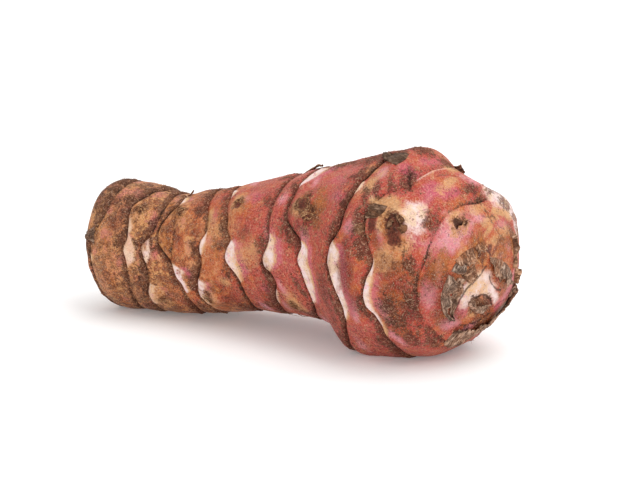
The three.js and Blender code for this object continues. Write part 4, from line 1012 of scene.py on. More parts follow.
# WASH is grime, and painted shade on the underside; DARK is the painted shade in the creases.
WASH, PORE, BLOT, DARK = (0.3, 0.085, 0.04), (0.09, 0.022, 0.012), (0.1, 0.034, 0.017), (0.045, 0.017, 0.01)
SOIL_DARK, SOIL_BROWN, SOIL_LIGHT = (0.08, 0.03, 0.018), (0.24, 0.095, 0.055), (0.52, 0.31, 0.2)
BUD_DARK, BUD_RED = (0.06, 0.017, 0.011), (0.27, 0.06, 0.036)
FLECK, GOLDEN, SALMON = (0.94, 0.68, 0.48), (0.68, 0.37, 0.15), (0.6, 0.2, 0.13)


def fibres_on_skin(tree, place):
    """Short dark and light streaks that run with the tuber, bent by slow noise."""
    bend = add_node(tree, "ShaderNodeTexNoise", {"Vector": place, "Scale": 0.35, "Detail": 1.0})
    shift = add_node(tree, "ShaderNodeVectorMath", {0: bend.outputs["Color"], "Scale": 5.0},
                     operation="SCALE")
    bent = add_node(tree, "ShaderNodeVectorMath", {0: place, 1: shift.outputs[0]}, operation="ADD")
    drawn = add_node(tree, "ShaderNodeVectorMath", {0: bent.outputs[0], 1: (0.6, 2.2, 2.2)},
                     operation="MULTIPLY")
    streaks = add_node(tree, "ShaderNodeTexNoise", {"Vector": drawn.outputs[0], "Scale": 1.0, "Detail": 2.0})
    return ramp(tree, 0.3, 0.7, streaks.outputs["Fac"])


def skin_material():
    material = bpy.data.materials.new("tuber skin")
    material.use_nodes = True
    tree = material.node_tree
    shader = tree.nodes["Principled BSDF"]
    shader.inputs["Specular IOR Level"].default_value = 0.22
    place = place_in_mm(tree)
    grain = add_node(tree, "ShaderNodeGroup", {}, node_tree=GRAIN)
    tree.links.new(place, grain.inputs["Place"])
    tiny, fine, medium, broad = (grain.outputs[label] for label in ("Tiny", "Fine", "Medium", "Broad"))

    def layer(name, coarse, scatter_coarse, small, scatter_small, softness):
        return grouped(tree, RAGGED, {
            "Mask": attribute(tree, name), "Grain A": coarse, "Grain B": small, "Scatter A": scatter_coarse,
            "Scatter B": scatter_small, "Softness": softness}, "Mask")

    def part(mask, share):
        return calc(tree, "MULTIPLY", mask, share)

    def shifted(mask, grain_a, share_a, grain_b, share_b):
        a = part(calc(tree, "SUBTRACT", grain_a, 0.5), share_a)
        b = part(calc(tree, "SUBTRACT", grain_b, 0.5), share_b)
        return calc(tree, "ADD", mask, calc(tree, "ADD", a, b))

    def specks(size, amount):
        return grouped(tree, SPECKS, {"Place": place, "Size": size, "Amount": amount}, "Mask")

    base_tone = attribute(tree, "tone")
    tone = shifted(base_tone, broad, 0.6, medium, 0.3)
    colour = mix(tree, ramp(tree, 0.0, 0.3, tone), TAN, OCHRE)
    colour = mix(tree, ramp(tree, 0.2, 0.5, tone), colour, BROWN_RED)
    colour = mix(tree, ramp(tree, 0.45, 0.8, tone), colour, CRIMSON)
    colour = mix(tree, ramp(tree, 0.75, 1.1, tone), colour, ROSY)
    colour = mix(tree, part(ramp(tree, 0.5, 0.95, medium), 0.5), colour, OCHRE)
    old = ramp(tree, 0.75, 0.15, base_tone)
    colour = mix(tree, calc(tree, "MULTIPLY", old, ramp(tree, 0.55, 0.85, broad)), colour, GOLDEN)
    colour = mix(tree, calc(tree, "MULTIPLY", old, ramp(tree, 0.45, 0.15, broad)), colour, SALMON)

    pink = layer("pink", broad, 0.3, fine, 0.2, 0.45)
    colour = mix(tree, part(pink, 0.9), colour, mix(tree, medium, PINK, PALE_PINK))
    magenta = layer("magenta", broad, 0.3, fine, 0.2, 0.45)
    colour = mix(tree, part(magenta, 0.9), colour, MAGENTA)
    colour = mix(tree, part(ramp(tree, 0.5, 0.95, fine), 0.32), colour, (0.88, 0.37, 0.2))
    white = layer("white", broad, 0.2, fine, 0.25, 0.4)
    fresh_colour = mix(tree, ramp(tree, 0.1, 0.5, base_tone), OLD_WHITE, WHITE)
    fresh_colour = mix(tree, ramp(tree, 0.35, 0.75, broad), fresh_colour, IVORY)
    colour = mix(tree, white, colour, mix(tree, ramp(tree, 0.6, 1.0, medium), fresh_colour, PALE_PINK))
    cream = layer("cream", broad, 0.3, fine, 0.4, 0.4)
    colour = mix(tree, part(cream, 0.85), colour, mix(tree, fine, CREAM, OCHRE))
    stain = layer("stain", medium, 0.5, fine, 0.5, 0.35)
    colour = mix(tree, part(stain, 0.9), colour, mix(tree, medium, ORANGE, DEEP_ORANGE))

    shade = layer("shade", medium, 0.4, fine, 0.3, 0.45)
    colour = mix(tree, part(shade, 0.85), colour,
                 mix(tree, 1.0, colour, (0.42, 0.26, 0.22), blend="MULTIPLY"))
    # The grime wash, mottling, pores and blots below follow the grime number, so on the underside they are
    # painted shade as well as dirt.
    grime_and_shade = shifted(calc(tree, "ADD", attribute(tree, "grime_and_shade"), part(shade, 0.3)), broad, 0.5, medium, 0.7)
    colour = mix(tree, part(ramp(tree, 0.4, 1.2, grime_and_shade), 0.3), colour, WASH)
    crust = ramp(tree, 0.52, 0.68, shifted(broad, medium, 0.9, fine, 0.7))
    crust = calc(tree, "MULTIPLY", crust, calc(tree, "ADD", 0.2, part(ramp(tree, 0.6, 0.25, base_tone), 0.5)))
    crust = calc(tree, "MULTIPLY", crust, calc(tree, "SUBTRACT", 1.0,
                                               calc(tree, "MAXIMUM", white, part(pink, 0.7))))
    colour = mix(tree, crust, colour, mix(tree, 1.0, colour, (0.34, 0.2, 0.16), blend="MULTIPLY"))
    darker = mix(tree, 1.0, colour, (0.36, 0.22, 0.18), blend="MULTIPLY")
    mottle = calc(tree, "MULTIPLY", ramp(tree, 0.5, 0.15, fine), ramp(tree, -0.3, 0.7, grime_and_shade))
    colour = mix(tree, mottle, colour, darker)
    colour = mix(tree, part(ramp(tree, 0.6, 0.95, tiny), 0.24), colour, mix(tree, 0.6, colour, FLECK))
    pores = calc(tree, "MULTIPLY", specks(0.55, grime_and_shade), ramp(tree, 0.05, 0.4, tiny))
    colour = mix(tree, part(pores, 0.9), colour, PORE)
    blots = calc(tree, "MULTIPLY", specks(1.1, part(grime_and_shade, 0.5)), ramp(tree, 0.25, 0.6, fine))
    colour = mix(tree, part(blots, 0.85), colour, BLOT)

    streaks = fibres_on_skin(tree, place)
    scar = layer("scar", medium, 0.6, fine, 0.6, 0.35)
    corky = mix(tree, ramp(tree, 0.25, 0.65, shifted(streaks, fine, 0.6, medium, 0.5)), SCAR_DARK, SCAR_BROWN)
    corky = mix(tree, ramp(tree, 0.7, 1.05, shifted(streaks, fine, 0.6, tiny, 0.4)), corky, SCAR_PALE)
    colour = mix(tree, part(scar, 0.92), colour, corky)
    bud = layer("bud", medium, 0.25, fine, 0.35, 0.3)
    colour = mix(tree, part(bud, 0.9), colour, mix(tree, fine, BUD_DARK, BUD_RED))
    soil = layer("soil", medium, 0.6, fine, 0.8, 0.2)
    soil_colour = mix(tree, ramp(tree, 0.3, 0.75, shifted(streaks, fine, 0.5, tiny, 0.4)), SOIL_DARK,
                      SOIL_BROWN)
    soil_colour = mix(tree, ramp(tree, 0.75, 1.1, shifted(streaks, tiny, 0.8, fine, 0.2)), soil_colour,
                      SOIL_LIGHT)
    colour = mix(tree, part(soil, 0.72), colour, soil_colour)
    dry = calc(tree, "MAXIMUM", soil, scar)
    bare = calc(tree, "SUBTRACT", 1.0, dry)
    # Painted shade: the dark line in every crease, eye pit and groove.
    crease = layer("crease", medium, 0.5, fine, 0.4, 0.3)
    colour = mix(tree, part(crease, 0.8), colour, DARK)
    flecks = calc(tree, "MULTIPLY", specks(0.4, 0.55),
                  calc(tree, "MULTIPLY", ramp(tree, 0.4, 0.8, medium), bare))
    colour = mix(tree, part(flecks, 0.4), colour, FLECK)
    tree.links.new(colour, shader.inputs["Base Color"])

    rough = calc(tree, "ADD", 0.42, calc(tree, "ADD", part(dry, 0.4), part(pores, 0.2)))
    tree.links.new(rough, shader.inputs["Roughness"])
    height = calc(tree, "ADD", part(fine, 0.7), calc(tree, "MULTIPLY", tiny, calc(tree, "ADD", 0.35, dry)))
    height = calc(tree, "MULTIPLY", height, calc(tree, "SUBTRACT", 1.0, part(white, 0.6)))
    height = calc(tree, "ADD", height, part(medium, 0.5))
    bump = add_node(tree, "ShaderNodeBump", {"Height": height, "Strength": 1.0, "Distance": 0.3 * MM})
    tree.links.new(bump.outputs[0], shader.inputs["Normal"])
    return material


tuber.data.materials.append(skin_material())
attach(tuber, "root")
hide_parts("tuber")

# %% [markdown]
# ## Dried scale leaves
#
# Here and there a shrivelled scale leaf still clings: a curled flake on the crest, spikes on the neck, and
# the papery wraps round the growing tip. Each is made of thin blades that leave the skin at their foot and
# lift towards a torn tip. So each blade is described by two lines drawn on the skin, foot and tip, and by
# how far the tip lifts. A grid is stretched between the lines, laid onto the real skin and given thickness.
# Cloth simulation could curl them too, but it would not keep them where they grew.

# %% Where the leaves are
# CAD node: blades, each with its foot line, tip line, lift at the tip, curl, greyness, tears, veins
LEAVES = {
    "crest_scale": [([(107.8, 14), (108.4, 19), (107.6, 24)], [(99.8, 9), (98.9, 13), (100.4, 18)], 0.4,
                     0.25, 0.8, 0.3, "out")],
    "shoulder_scale": [([(75.6, 1), (75.6, 4.5), (75.8, 8)], [(81, 4), (81.2, 4.6), (81.2, 5.2)], 0.9, 0.3,
                        0.3, 0.1, "out")],
    "neck_scale": [([(36.8, 1), (36.8, 4), (37, 8)], [(41.6, 2.6), (41.8, 3.4), (41.8, 4)], 0.8, 0.3, 0.2,
                    0.1, "out")],
    "tail_scale": [([(19, 62), (19.2, 70), (19.4, 78)], [(17.2, 67), (17, 70), (17.2, 73)], 0.6, 0.2, 0.8,
                    0.1, "out")],
    "eye_scale": [([(112.6, 49), (112.6, 53), (111.4, 57)], [(108, 51), (107, 55), (107.6, 60)], 0.5, 0.4,
                   0.5, 0.3, "out"),
                  ([(115.6, 52.5), (116.6, 51.5), (117.8, 53)], [(116.8, 56.6), (117, 56.4), (117.4, 56.8)],
                   0.8, 0.2, 0, 0.2, "out"),
                  ([(118.6, 55), (118.9, 58), (118.3, 61)], [(117.5, 57), (117.5, 58), (117.3, 59)], 0.9,
                   0.2, 0.1, 0.2, "out"),
                  ([(115, 61), (114.8, 58), (115.2, 55)], [(116.5, 59), (116.4, 58), (116.5, 57)], 0.7, 0.2,
                   0.1, 0.2, "out")],
    "saddle_scale": [([(111.6, -14), (111.2, -18), (111, -22)], [(114, -13), (114.4, -17), (114, -20)], 0.8,
                      0.3, 0.7, 0.3, "out")],
    "crown_scale_left": [
        ([(133, 63), (133.8, 45), (134.3, 30), (134.6, 18)],
         [(135.8, 86), (137, 79), (138, 64), (138.4, 30)], 0.5, 0.3, 0.35, 0.35, "out"),
        ([(135.4, 86), (136.6, 78), (137.6, 64), (138.2, 36)],
         [(136.2, 100), (136.8, 114), (137.8, 132), (139.2, 156)], 0.5, 0.2, 0.3, 0.25, "round"),
        ([(135, 14), (134.4, 0), (133.6, -12)], [(137.6, 10), (137.8, -10), (136.6, -30)], 0.3, 0.3, 0.15,
         0.6, "out"),
        ([(132.6, 80), (133.2, 68), (134.2, 56)], [(136, 92), (136.6, 82), (136.4, 62)], 0.9, 0.5, 0.95,
         0.5, "round"),
        ([(134.4, 92), (133.4, 110), (132, 121), (130.8, 130), (129.6, 138), (129, 149)],
         [(136.4, 100), (135.6, 122), (133.6, 130), (131.8, 135), (130, 140),
          (129.2, 148)], 0.5, 0.3, 0.65, 0.4, "round"),
        ([(132, 86), (130.8, 100), (129.7, 110), (129, 120), (128.4, 133), (128.1, 147)],
         [(134.8, 95), (133.8, 113), (132.2, 124), (130.9, 131), (129.7, 139),
          (129.2, 150)], 0.5, 0.4, 0.85, 0.6, "round"),
        ([(133.4, 160), (131.6, 178), (129.9, 196)], [(135.2, 160), (135, 185), (132, 208)], 0.8, 0.5, 0.75,
         0.6, "out")],
    "crown_scale_back": [
        ([(136.6, -46), (134.6, -70), (132.1, -84)], [(138, -76), (136, 243), (132.8, 236)], 0.5, 0.4, 0.5,
         0.45, "out"),
        ([(133.4, -78), (131.4, 272), (129, 262), (127.6, 256)],
         [(133.6, 240), (131.6, 234), (129.4, 238), (127.4, 243)], 0.4, 0.3, 0.85, 0.45, "out"),
        ([(127.2, -62), (127.6, -74), (128, -86), (128.2, 264)],
         [(125.6, -62), (125.8, -74), (126.2, -86), (126.4, 264)],
         0.5, 0.2, 0.3, 0.4, "out"),
        ([(126.6, 264), (126.2, 256), (125.4, 250)], [(124.6, 262), (124.2, 255), (123.6, 250)], 0.9, 0.3,
         0.2, 0.5, "out")],
    "crown_scale_low": [
        ([(122.4, 250), (121.4, 238), (120.4, 224), (120.2, 208), (120.4, 190), (121.2, 170), (122.6, 158)],
         [(124.6, 248), (127.4, 232), (128.6, 218), (128.6, 206), (128.9, 190), (128.8, 173), (128.6, 160)],
         0.7, 0.4, 0.6, 0.2, "out"),
        ([(125.4, 238), (124.6, 236)], [(125, 249), (124, 246)], 0.7, 0.3, 0.8, 0.4, "out")],
    "back_scale": [([(76.8, 252), (77, 262), (77.2, 272)], [(83, 256), (83.6, 262), (83, 268)], 1, 0.5, 0.4,
                    0.3, "out")],
}
UMBER = {"crest_scale": 0.8, "eye_scale": 0.6, "tail_scale": 0.5}  # how far a leaf has gone dark brown
LEAF_THICKNESS = 0.16
BLADE_CELL = 0.17


def skin_tree(points):
    """A search tree over the skin grid's faces, in millimetres."""
    return BVHTree.FromPolygons(points.tolist(), ring_grid_faces(ROWS, COLUMNS))


smooth_body, real_skin = skin_tree(plain), skin_tree(skin)


def onto_skin(point):
    """The real skin under a point, and the smooth outward direction there."""
    place, outward, _, _ = smooth_body.find_nearest(Vector(point))
    hit = real_skin.ray_cast(place + outward * 8, -outward)[0]
    return (hit or place), outward


def blade_grid(blade, seed):
    """A grid of points from foot to tip, with how far across and out each is, in parts and millimetres."""
    foot, tip, lift, curl, _, torn, veins = blade
    width = max(np.linalg.norm(np.diff(line_on_body(line, 20), axis=0), axis=1).sum() for line in (foot, tip))
    length = np.linalg.norm(line_on_body(tip, 9) - line_on_body(foot, 9), axis=1).mean()
    columns = int(np.clip(width / BLADE_CELL, 12, 110)) + 1
    rows = int(np.clip(length / BLADE_CELL, 12, 60)) + 1
    low, high = line_on_body(foot, columns), line_on_body(tip, columns)
    u = np.linspace(0, 1, columns)
    strand = np.stack([u * width, np.full_like(u, seed * 9.0), np.zeros_like(u)], -1)
    tear = 1 - torn * (0.5 + 0.5 * noise(strand, 1.4, seed)) - 0.5 * torn * np.abs(noise(strand, 0.5,
                                                                                         seed + 1))
    ridge = 0.09 * noise(strand, 0.6, seed + 2) + 0.2 * noise(strand, 1.9, seed + 3)
    points, places = [], []
    for v in np.linspace(0, 1, rows):
        spots = low + (high - low) * (v * tear)[:, None]
        crumple = 0.36 * noise(spots, 2, seed + 4) + 0.14 * noise(spots, 0.9, seed + 5)
        rise = min(v / 0.3, 1)
        for i, spot in enumerate(spots):
            ground, away = onto_skin(spot)
            side = min(u[i], 1 - u[i]) * width
            height = 0.2 * min(v / 0.15, 1, side / 0.5) + lift * v ** 1.7 + curl * max(v - 0.6, 0) ** 2 * 6
            height += (ridge[i] + crumple[i]) * rise - 0.1
            points.append(ground + away * max(height, -0.1))
            lengthwise = (u[i] * width, v * length)
            places.append((u[i], v, *(lengthwise if veins == "out" else lengthwise[::-1])))
    return points, places, columns


def make_leaf(node, blades, seed, material):
    """One mesh of all the blades, thickened, with a flat map and the numbers that its material reads."""
    points, places, faces, greys = [], [], [], []
    for number, blade in enumerate(blades):
        spots, spot_places, columns = blade_grid(blade, seed + 20 * number)
        start, rows = len(points), len(spots) // columns
        across = (spots[1] - spots[0]).cross(spots[columns] - spots[0])
        order = (0, 1, 2, 3) if across.dot(onto_skin(spots[0])[1]) > 0 else (3, 2, 1, 0)
        for j in range(rows - 1):
            for i in range(columns - 1):
                corner = start + j * columns + i
                quad = (corner, corner + 1, corner + columns + 1, corner + columns)
                faces.append(tuple(quad[k] for k in order))
        points += spots
        places += spot_places
        greys += [blade[4]] * len(spots)
    mesh = bpy.data.meshes.new(node + "_skin")
    mesh.from_pydata([p * MM for p in points], [], faces)
    layer = mesh.uv_layers.new(name="OFBake")
    for loop in mesh.loops:
        layer.data[loop.index].uv = places[loop.vertex_index][:2]
    umber = [UMBER.get(node, 0)] * len(points)
    for name, values in (("grey", greys), ("umber", umber), ("strand", [p[2] for p in places]),
                         ("reach", [p[3] for p in places])):
        mesh.attributes.new(name, "FLOAT", "POINT").data.foreach_set("value", values)
    leaf = bpy.data.objects.new(node + "_skin", mesh)
    bpy.context.scene.collection.objects.link(leaf)
    thick = leaf.modifiers.new("thickness", "SOLIDIFY")
    thick.thickness, thick.offset = LEAF_THICKNESS * MM, 1.0
    solid = as_plain_mesh(leaf)
    solid.shade_smooth()
    solid.materials.clear()
    solid.materials.append(material)
    return leaf


def as_plain_mesh(piece):
    """Replaces an object's mesh by what its modifiers make of it, and removes them."""
    graph = bpy.context.evaluated_depsgraph_get()
    result = bpy.data.meshes.new_from_object(piece.evaluated_get(graph), preserve_all_data_layers=True,
                                             depsgraph=graph)
    piece.modifiers.clear()
    piece.data = result
    return result

# %% The dry leaf's material
def scale_material():
    material = bpy.data.materials.new("dried scale leaf")
    material.use_nodes = True
    tree = material.node_tree
    shader = tree.nodes["Principled BSDF"]
    shader.inputs["Specular IOR Level"].default_value = 0.2
    place = place_in_mm(tree)
    grain = add_node(tree, "ShaderNodeGroup", {}, node_tree=GRAIN)
    tree.links.new(place, grain.inputs["Place"])
    fine, medium, broad = (grain.outputs[label] for label in ("Fine", "Medium", "Broad"))
    grey = attribute(tree, "grey")
    across = calc(tree, "ADD", attribute(tree, "strand"), calc(tree, "MULTIPLY", broad, 0.8))
    flat = add_node(tree, "ShaderNodeCombineXYZ", {
        0: calc(tree, "MULTIPLY", across, 2.0), 1: calc(tree, "MULTIPLY", attribute(tree, "reach"), 0.35),
        2: calc(tree, "MULTIPLY", medium, 0.9)}).outputs[0]
    vein = add_node(tree, "ShaderNodeTexNoise",
                    {"Vector": flat, "Scale": 1.0, "Detail": 2.0, "Roughness": 0.6})
    vein = ramp(tree, 0.25, 0.75, vein.outputs["Fac"])
    dark = mix(tree, grey, (0.11, 0.03, 0.012), (0.045, 0.024, 0.017))
    middle = mix(tree, grey, (0.5, 0.22, 0.1), (0.4, 0.27, 0.2))
    pale = mix(tree, grey, (0.72, 0.4, 0.24), (0.64, 0.49, 0.39))
    blotch = calc(tree, "ADD", calc(tree, "MULTIPLY", medium, 0.28), calc(tree, "MULTIPLY", fine, 0.12))
    tone = calc(tree, "ADD", calc(tree, "MULTIPLY", vein, 0.6), blotch)
    colour = mix(tree, ramp(tree, 0.12, 0.5, tone), dark, middle)
    colour = mix(tree, ramp(tree, 0.52, 0.84, tone), colour, pale)
    colour = mix(tree, calc(tree, "MULTIPLY", ramp(tree, 0.55, 0.9, broad), 0.75), colour, dark)
    rusty = calc(tree, "MULTIPLY", ramp(tree, 0.55, 0.2, broad), calc(tree, "SUBTRACT", 1.1, grey))
    colour = mix(tree, calc(tree, "MULTIPLY", rusty, 0.8), colour, (0.4, 0.13, 0.045))
    crack = ramp(tree, 0.09, 0.01, calc(tree, "ABSOLUTE", calc(tree, "SUBTRACT", vein, 0.4)))
    colour = mix(tree, calc(tree, "MULTIPLY", crack, 0.8), colour, dark)
    flat_map = add_node(tree, "ShaderNodeSeparateXYZ",
                        {0: add_node(tree, "ShaderNodeUVMap", uv_map="OFBake").outputs[0]})
    edge = calc(tree, "MULTIPLY", ramp(tree, 0.88, 1.0, flat_map.outputs[1]), ramp(tree, 0.35, 0.6, medium))
    # Towards its foot, where it meets the skin, the leaf turns to rust flecked with painted shade.
    foot = calc(tree, "MULTIPLY", ramp(tree, 0.3, 0.0, flat_map.outputs[1]), ramp(tree, 0.2, 0.7, broad))
    colour = mix(tree, calc(tree, "MULTIPLY", foot, 0.6), colour, mix(tree, fine, (0.36, 0.12, 0.05), dark))
    colour = mix(tree, calc(tree, "MULTIPLY", edge, 0.5), colour, (0.66, 0.42, 0.28))
    colour = mix(tree, attribute(tree, "umber"), colour,
                 mix(tree, tone, (0.03, 0.014, 0.008), (0.16, 0.08, 0.04)))
    tree.links.new(colour, shader.inputs["Base Color"])
    tree.links.new(calc(tree, "ADD", 0.6, calc(tree, "MULTIPLY", fine, 0.3)), shader.inputs["Roughness"])
    height = calc(tree, "SUBTRACT", calc(tree, "ADD", vein, calc(tree, "MULTIPLY", fine, 0.5)), crack)
    bump = add_node(tree, "ShaderNodeBump", {"Height": height, "Strength": 1.0, "Distance": 0.3 * MM})
    tree.links.new(bump.outputs[0], shader.inputs["Normal"])
    return material


dry_scale = scale_material()
for number, (node, blades) in enumerate(LEAVES.items()):
    leaf = make_leaf(node, blades, 100 + 50 * number, dry_scale)
    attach(leaf, "root")
    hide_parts(node)
    print(node, len(leaf.data.polygons), "faces")

# %% [markdown]
# ## Root threads
#
# Three thin roots are left on the underside. Each is a tapering tube along a path that starts in the skin and
# droops, with a little wobble, so that it looks grown and not drawn.

# %% Roots
THREADS = [  # CAD node, place where it leaves the skin, heading on the skin, length, thickness
    ("root_thread_neck", (66.5, 148), 30, 6, 0.2), ("root_thread_head", (72, 152), 10, 5, 0.2),
    ("root_thread_back", (60, 215), -20, 7, 0.24)]
THREAD_SIDES = 8


def thread_path(place, heading, length, seed, steps=28):
    """Points from just under the skin, out and along it in the heading's direction."""
    start, forward, sideways, _ = surface_axes(*place)
    ground, away = (np.array(v) for v in onto_skin(start))
    turn = math.radians(heading)
    lean = forward * math.cos(turn) + sideways * math.sin(turn)
    u = np.linspace(0, 1, steps)[:, None]
    path = ground - 0.4 * away + lean * length * u + away * (1.7 * u ** 0.6 - 0.9 * u ** 2)
    for k in range(3):
        path[:, k] += 0.35 * u[:, 0] * noise(np.stack([u[:, 0] * length, np.full(steps, seed + k * 7.0),
                                                       np.zeros(steps)], -1), 1.7, seed)
    path[:, 2] = np.maximum(path[:, 2], 0.3)
    return path


def tube(name, path, radii, material):
    """A closed tube of rings round a path, with a point at either end."""
    along_path = np.gradient(path, axis=0)
    along_path /= np.linalg.norm(along_path, axis=1, keepdims=True)
    side = np.cross(along_path, [0.3, 0.2, 1])
    side /= np.linalg.norm(side, axis=1, keepdims=True)
    up = np.cross(side, along_path)
    turn = np.arange(THREAD_SIDES) * 2 * math.pi / THREAD_SIDES
    rings = (path[:, None] + radii[:, None, None] * (np.cos(turn)[None, :, None] * side[:, None]
                                                     + np.sin(turn)[None, :, None] * up[:, None]))
    points = np.vstack([path[:1], rings.reshape(-1, 3), path[-1:] + along_path[-1:] * radii[-1]])
    mesh = bpy.data.meshes.new(name)
    mesh.from_pydata((points * MM).tolist(), [], ring_grid_faces(len(path), THREAD_SIDES))
    layer = mesh.uv_layers.new(name="OFBake")
    for loop in mesh.loops:
        row, column = divmod(max(loop.vertex_index - 1, 0), THREAD_SIDES)
        layer.data[loop.index].uv = (column / THREAD_SIDES, min(row / len(path), 1))
    mesh.shade_smooth()
    mesh.materials.append(material)
    piece = bpy.data.objects.new(name, mesh)
    bpy.context.scene.collection.objects.link(piece)
    make_outward(mesh)
    return piece


def make_outward(mesh):
    """Turns a closed mesh right side out."""
    work = bmesh.new()
    work.from_mesh(mesh)
    bmesh.ops.recalc_face_normals(work, faces=work.faces)
    if work.calc_volume(signed=True) < 0:
        bmesh.ops.reverse_faces(work, faces=work.faces)
    work.to_mesh(mesh)
    work.free()


def thread_material():
    material = bpy.data.materials.new("root thread")
    material.use_nodes = True
    tree = material.node_tree
    shader = tree.nodes["Principled BSDF"]
    place = place_in_mm(tree)
    colour = mix(tree, ramp(tree, 0.35, 0.65, lumps(tree, place, 0.3)), (0.09, 0.045, 0.025),
                 (0.34, 0.2, 0.11))
    tree.links.new(colour, shader.inputs["Base Color"])
    shader.inputs["Roughness"].default_value = 0.75
    bump = add_node(tree, "ShaderNodeBump", {"Height": lumps(tree, place, 0.15), "Distance": 0.05 * MM})
    tree.links.new(bump.outputs[0], shader.inputs["Normal"])
    return material


root_thread = thread_material()
for number, (node, place, heading, length, thickness) in enumerate(THREADS):
    path = thread_path(place, heading, length, 300 + number)
    u = np.linspace(0, 1, len(path))
    thread = tube(node + "_skin", path, thickness / 2 * (1.25 - u) * (1 + 0.2 * np.sin(u * 40 + number)),
                  root_thread)
    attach(thread, "root")
    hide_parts(node)
print("threads:", len(THREADS))

# %% [markdown]
# ## Crumbs of soil
#
# A tuber that was only rinsed keeps dry soil in its creases: grains from a fifth to half a millimetre, too
# small to place by hand. Geometry Nodes scatter points over the skin, as thickly as the number painted on
# the mesh says, and put a rough grain on each. The grains are made real and pushed about by noise, so no
# two are alike.

# %% Soil crumbs
def input_socket(group, label, kind, value=None):
    socket = group.interface.new_socket(label, in_out="INPUT", socket_type=kind)
    if value is not None:
        socket.default_value = value
    return socket.identifier


def new_geometry_group(name, numbers):
    """A geometry group that takes the skin and some numbers, and the identifiers of its inputs."""
    group = bpy.data.node_groups.new(name, "GeometryNodeTree")
    group.is_modifier = True
    identifiers = {"Skin": input_socket(group, "Skin", "NodeSocketGeometry")}
    for label, (kind, value) in numbers.items():
        identifiers[label] = input_socket(group, label, kind, value)
    group.interface.new_socket("Pieces", in_out="OUTPUT", socket_type="NodeSocketGeometry")
    given, out = group.nodes.new("NodeGroupInput"), group.nodes.new("NodeGroupOutput")
    return group, given.outputs, out.inputs, identifiers


def scattered_points(group, given, painted):
    """Points on the skin, as many per square metre as Density times the painted number."""
    amount = add_node(group, "GeometryNodeInputNamedAttribute", {"Name": painted},
                      data_type="FLOAT").outputs[0]
    density = calc(group, "MULTIPLY", amount, given["Density"])
    return add_node(group, "GeometryNodeDistributePointsOnFaces", {
        "Mesh": given["Skin"], "Density": density, "Seed": given["Seed"]})


def random_vector(group, low, high, seed):
    return add_node(group, "FunctionNodeRandomValue", {0: low, 1: high, "Seed": seed},
                    data_type="FLOAT_VECTOR").outputs[0]


def shaken(group, geometry, lump, amount):
    """Geometry pushed about by noise with lumps of the given size, both in metres."""
    place = add_node(group, "GeometryNodeInputPosition").outputs[0]
    wobble = add_node(group, "ShaderNodeTexNoise",
                      {"Vector": place, "Scale": calc(group, "DIVIDE", 1.0, lump),
                                                    "Detail": 1.0}).outputs["Color"]
    centred = add_node(group, "ShaderNodeVectorMath", {0: wobble, 1: (0.5, 0.5, 0.5)}, operation="SUBTRACT")
    offset = add_node(group, "ShaderNodeVectorMath", {0: centred.outputs[0], "Scale": amount},
                      operation="SCALE")
    return add_node(group, "GeometryNodeSetPosition",
                    {"Geometry": geometry, "Offset": offset.outputs[0]}).outputs[0]


def finished(group, out, geometry, material):
    """Ends a group: shades its pieces smooth, gives them their material and puts them out."""
    smooth = add_node(group, "GeometryNodeSetShadeSmooth", {"Geometry": geometry}).outputs[0]
    painted = add_node(group, "GeometryNodeSetMaterial",
                       {"Geometry": smooth, "Material": material}).outputs[0]
    group.links.new(painted, out["Pieces"])


def crumbs_group(material):
    group, given, out, identifiers = new_geometry_group("soil crumbs", {
        "Density": (FLOAT, 1e6), "Smallest": (FLOAT, 0.08 * MM), "Largest": (FLOAT, 0.24 * MM),
        "Roughness": (FLOAT, 0.25 * MM), "Seed": ("NodeSocketInt", 5)})
    points = scattered_points(group, given, "crumbs")
    grain = add_node(group, "GeometryNodeMeshIcoSphere", {"Radius": 1.0, "Subdivisions": 1}).outputs[0]
    chance = add_node(group, "FunctionNodeRandomValue", {2: 0.0, 3: 1.0, "Seed": given["Seed"]},
                      data_type="FLOAT").outputs[1]
    mostly_small = calc(group, "POWER", chance, 2.5)
    size = calc(group, "ADD", given["Smallest"], calc(
        group, "MULTIPLY", mostly_small, calc(group, "SUBTRACT", given["Largest"], given["Smallest"])))
    stretch = random_vector(group, (0.7, 0.7, 0.5), (1.5, 1.1, 0.9), given["Seed"])
    scale = add_node(group, "ShaderNodeVectorMath", {0: stretch, "Scale": size}, operation="SCALE").outputs[0]
    turned = add_node(group, "FunctionNodeRotateRotation", {
        "Rotation": points.outputs["Rotation"],
        "Rotate By": random_vector(group, (-0.6, -0.6, 0), (0.6, 0.6, 6.3),
                                   given["Seed"])}, rotation_space="LOCAL")
    placed = add_node(group, "GeometryNodeInstanceOnPoints", {
        "Points": points.outputs["Points"], "Instance": grain, "Rotation": turned.outputs[0], "Scale": scale})
    real = add_node(group, "GeometryNodeRealizeInstances", {"Geometry": placed.outputs[0]}).outputs[0]
    finished(group, out, shaken(group, real, 0.3 * MM, given["Roughness"]), material)
    return group, identifiers


def grow_on_skin(name, group, identifiers, settings):
    """The plain mesh that a geometry group makes of the tuber."""
    piece = bpy.data.objects.new(name, tuber.data)
    bpy.context.scene.collection.objects.link(piece)
    modifier = piece.modifiers.new(name, "NODES")
    modifier.node_group = group
    for label, value in settings.items():
        modifier[identifiers[label]] = value
    as_plain_mesh(piece)
    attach(piece, "root")
    print(name, len(piece.data.polygons), "faces")
    return piece


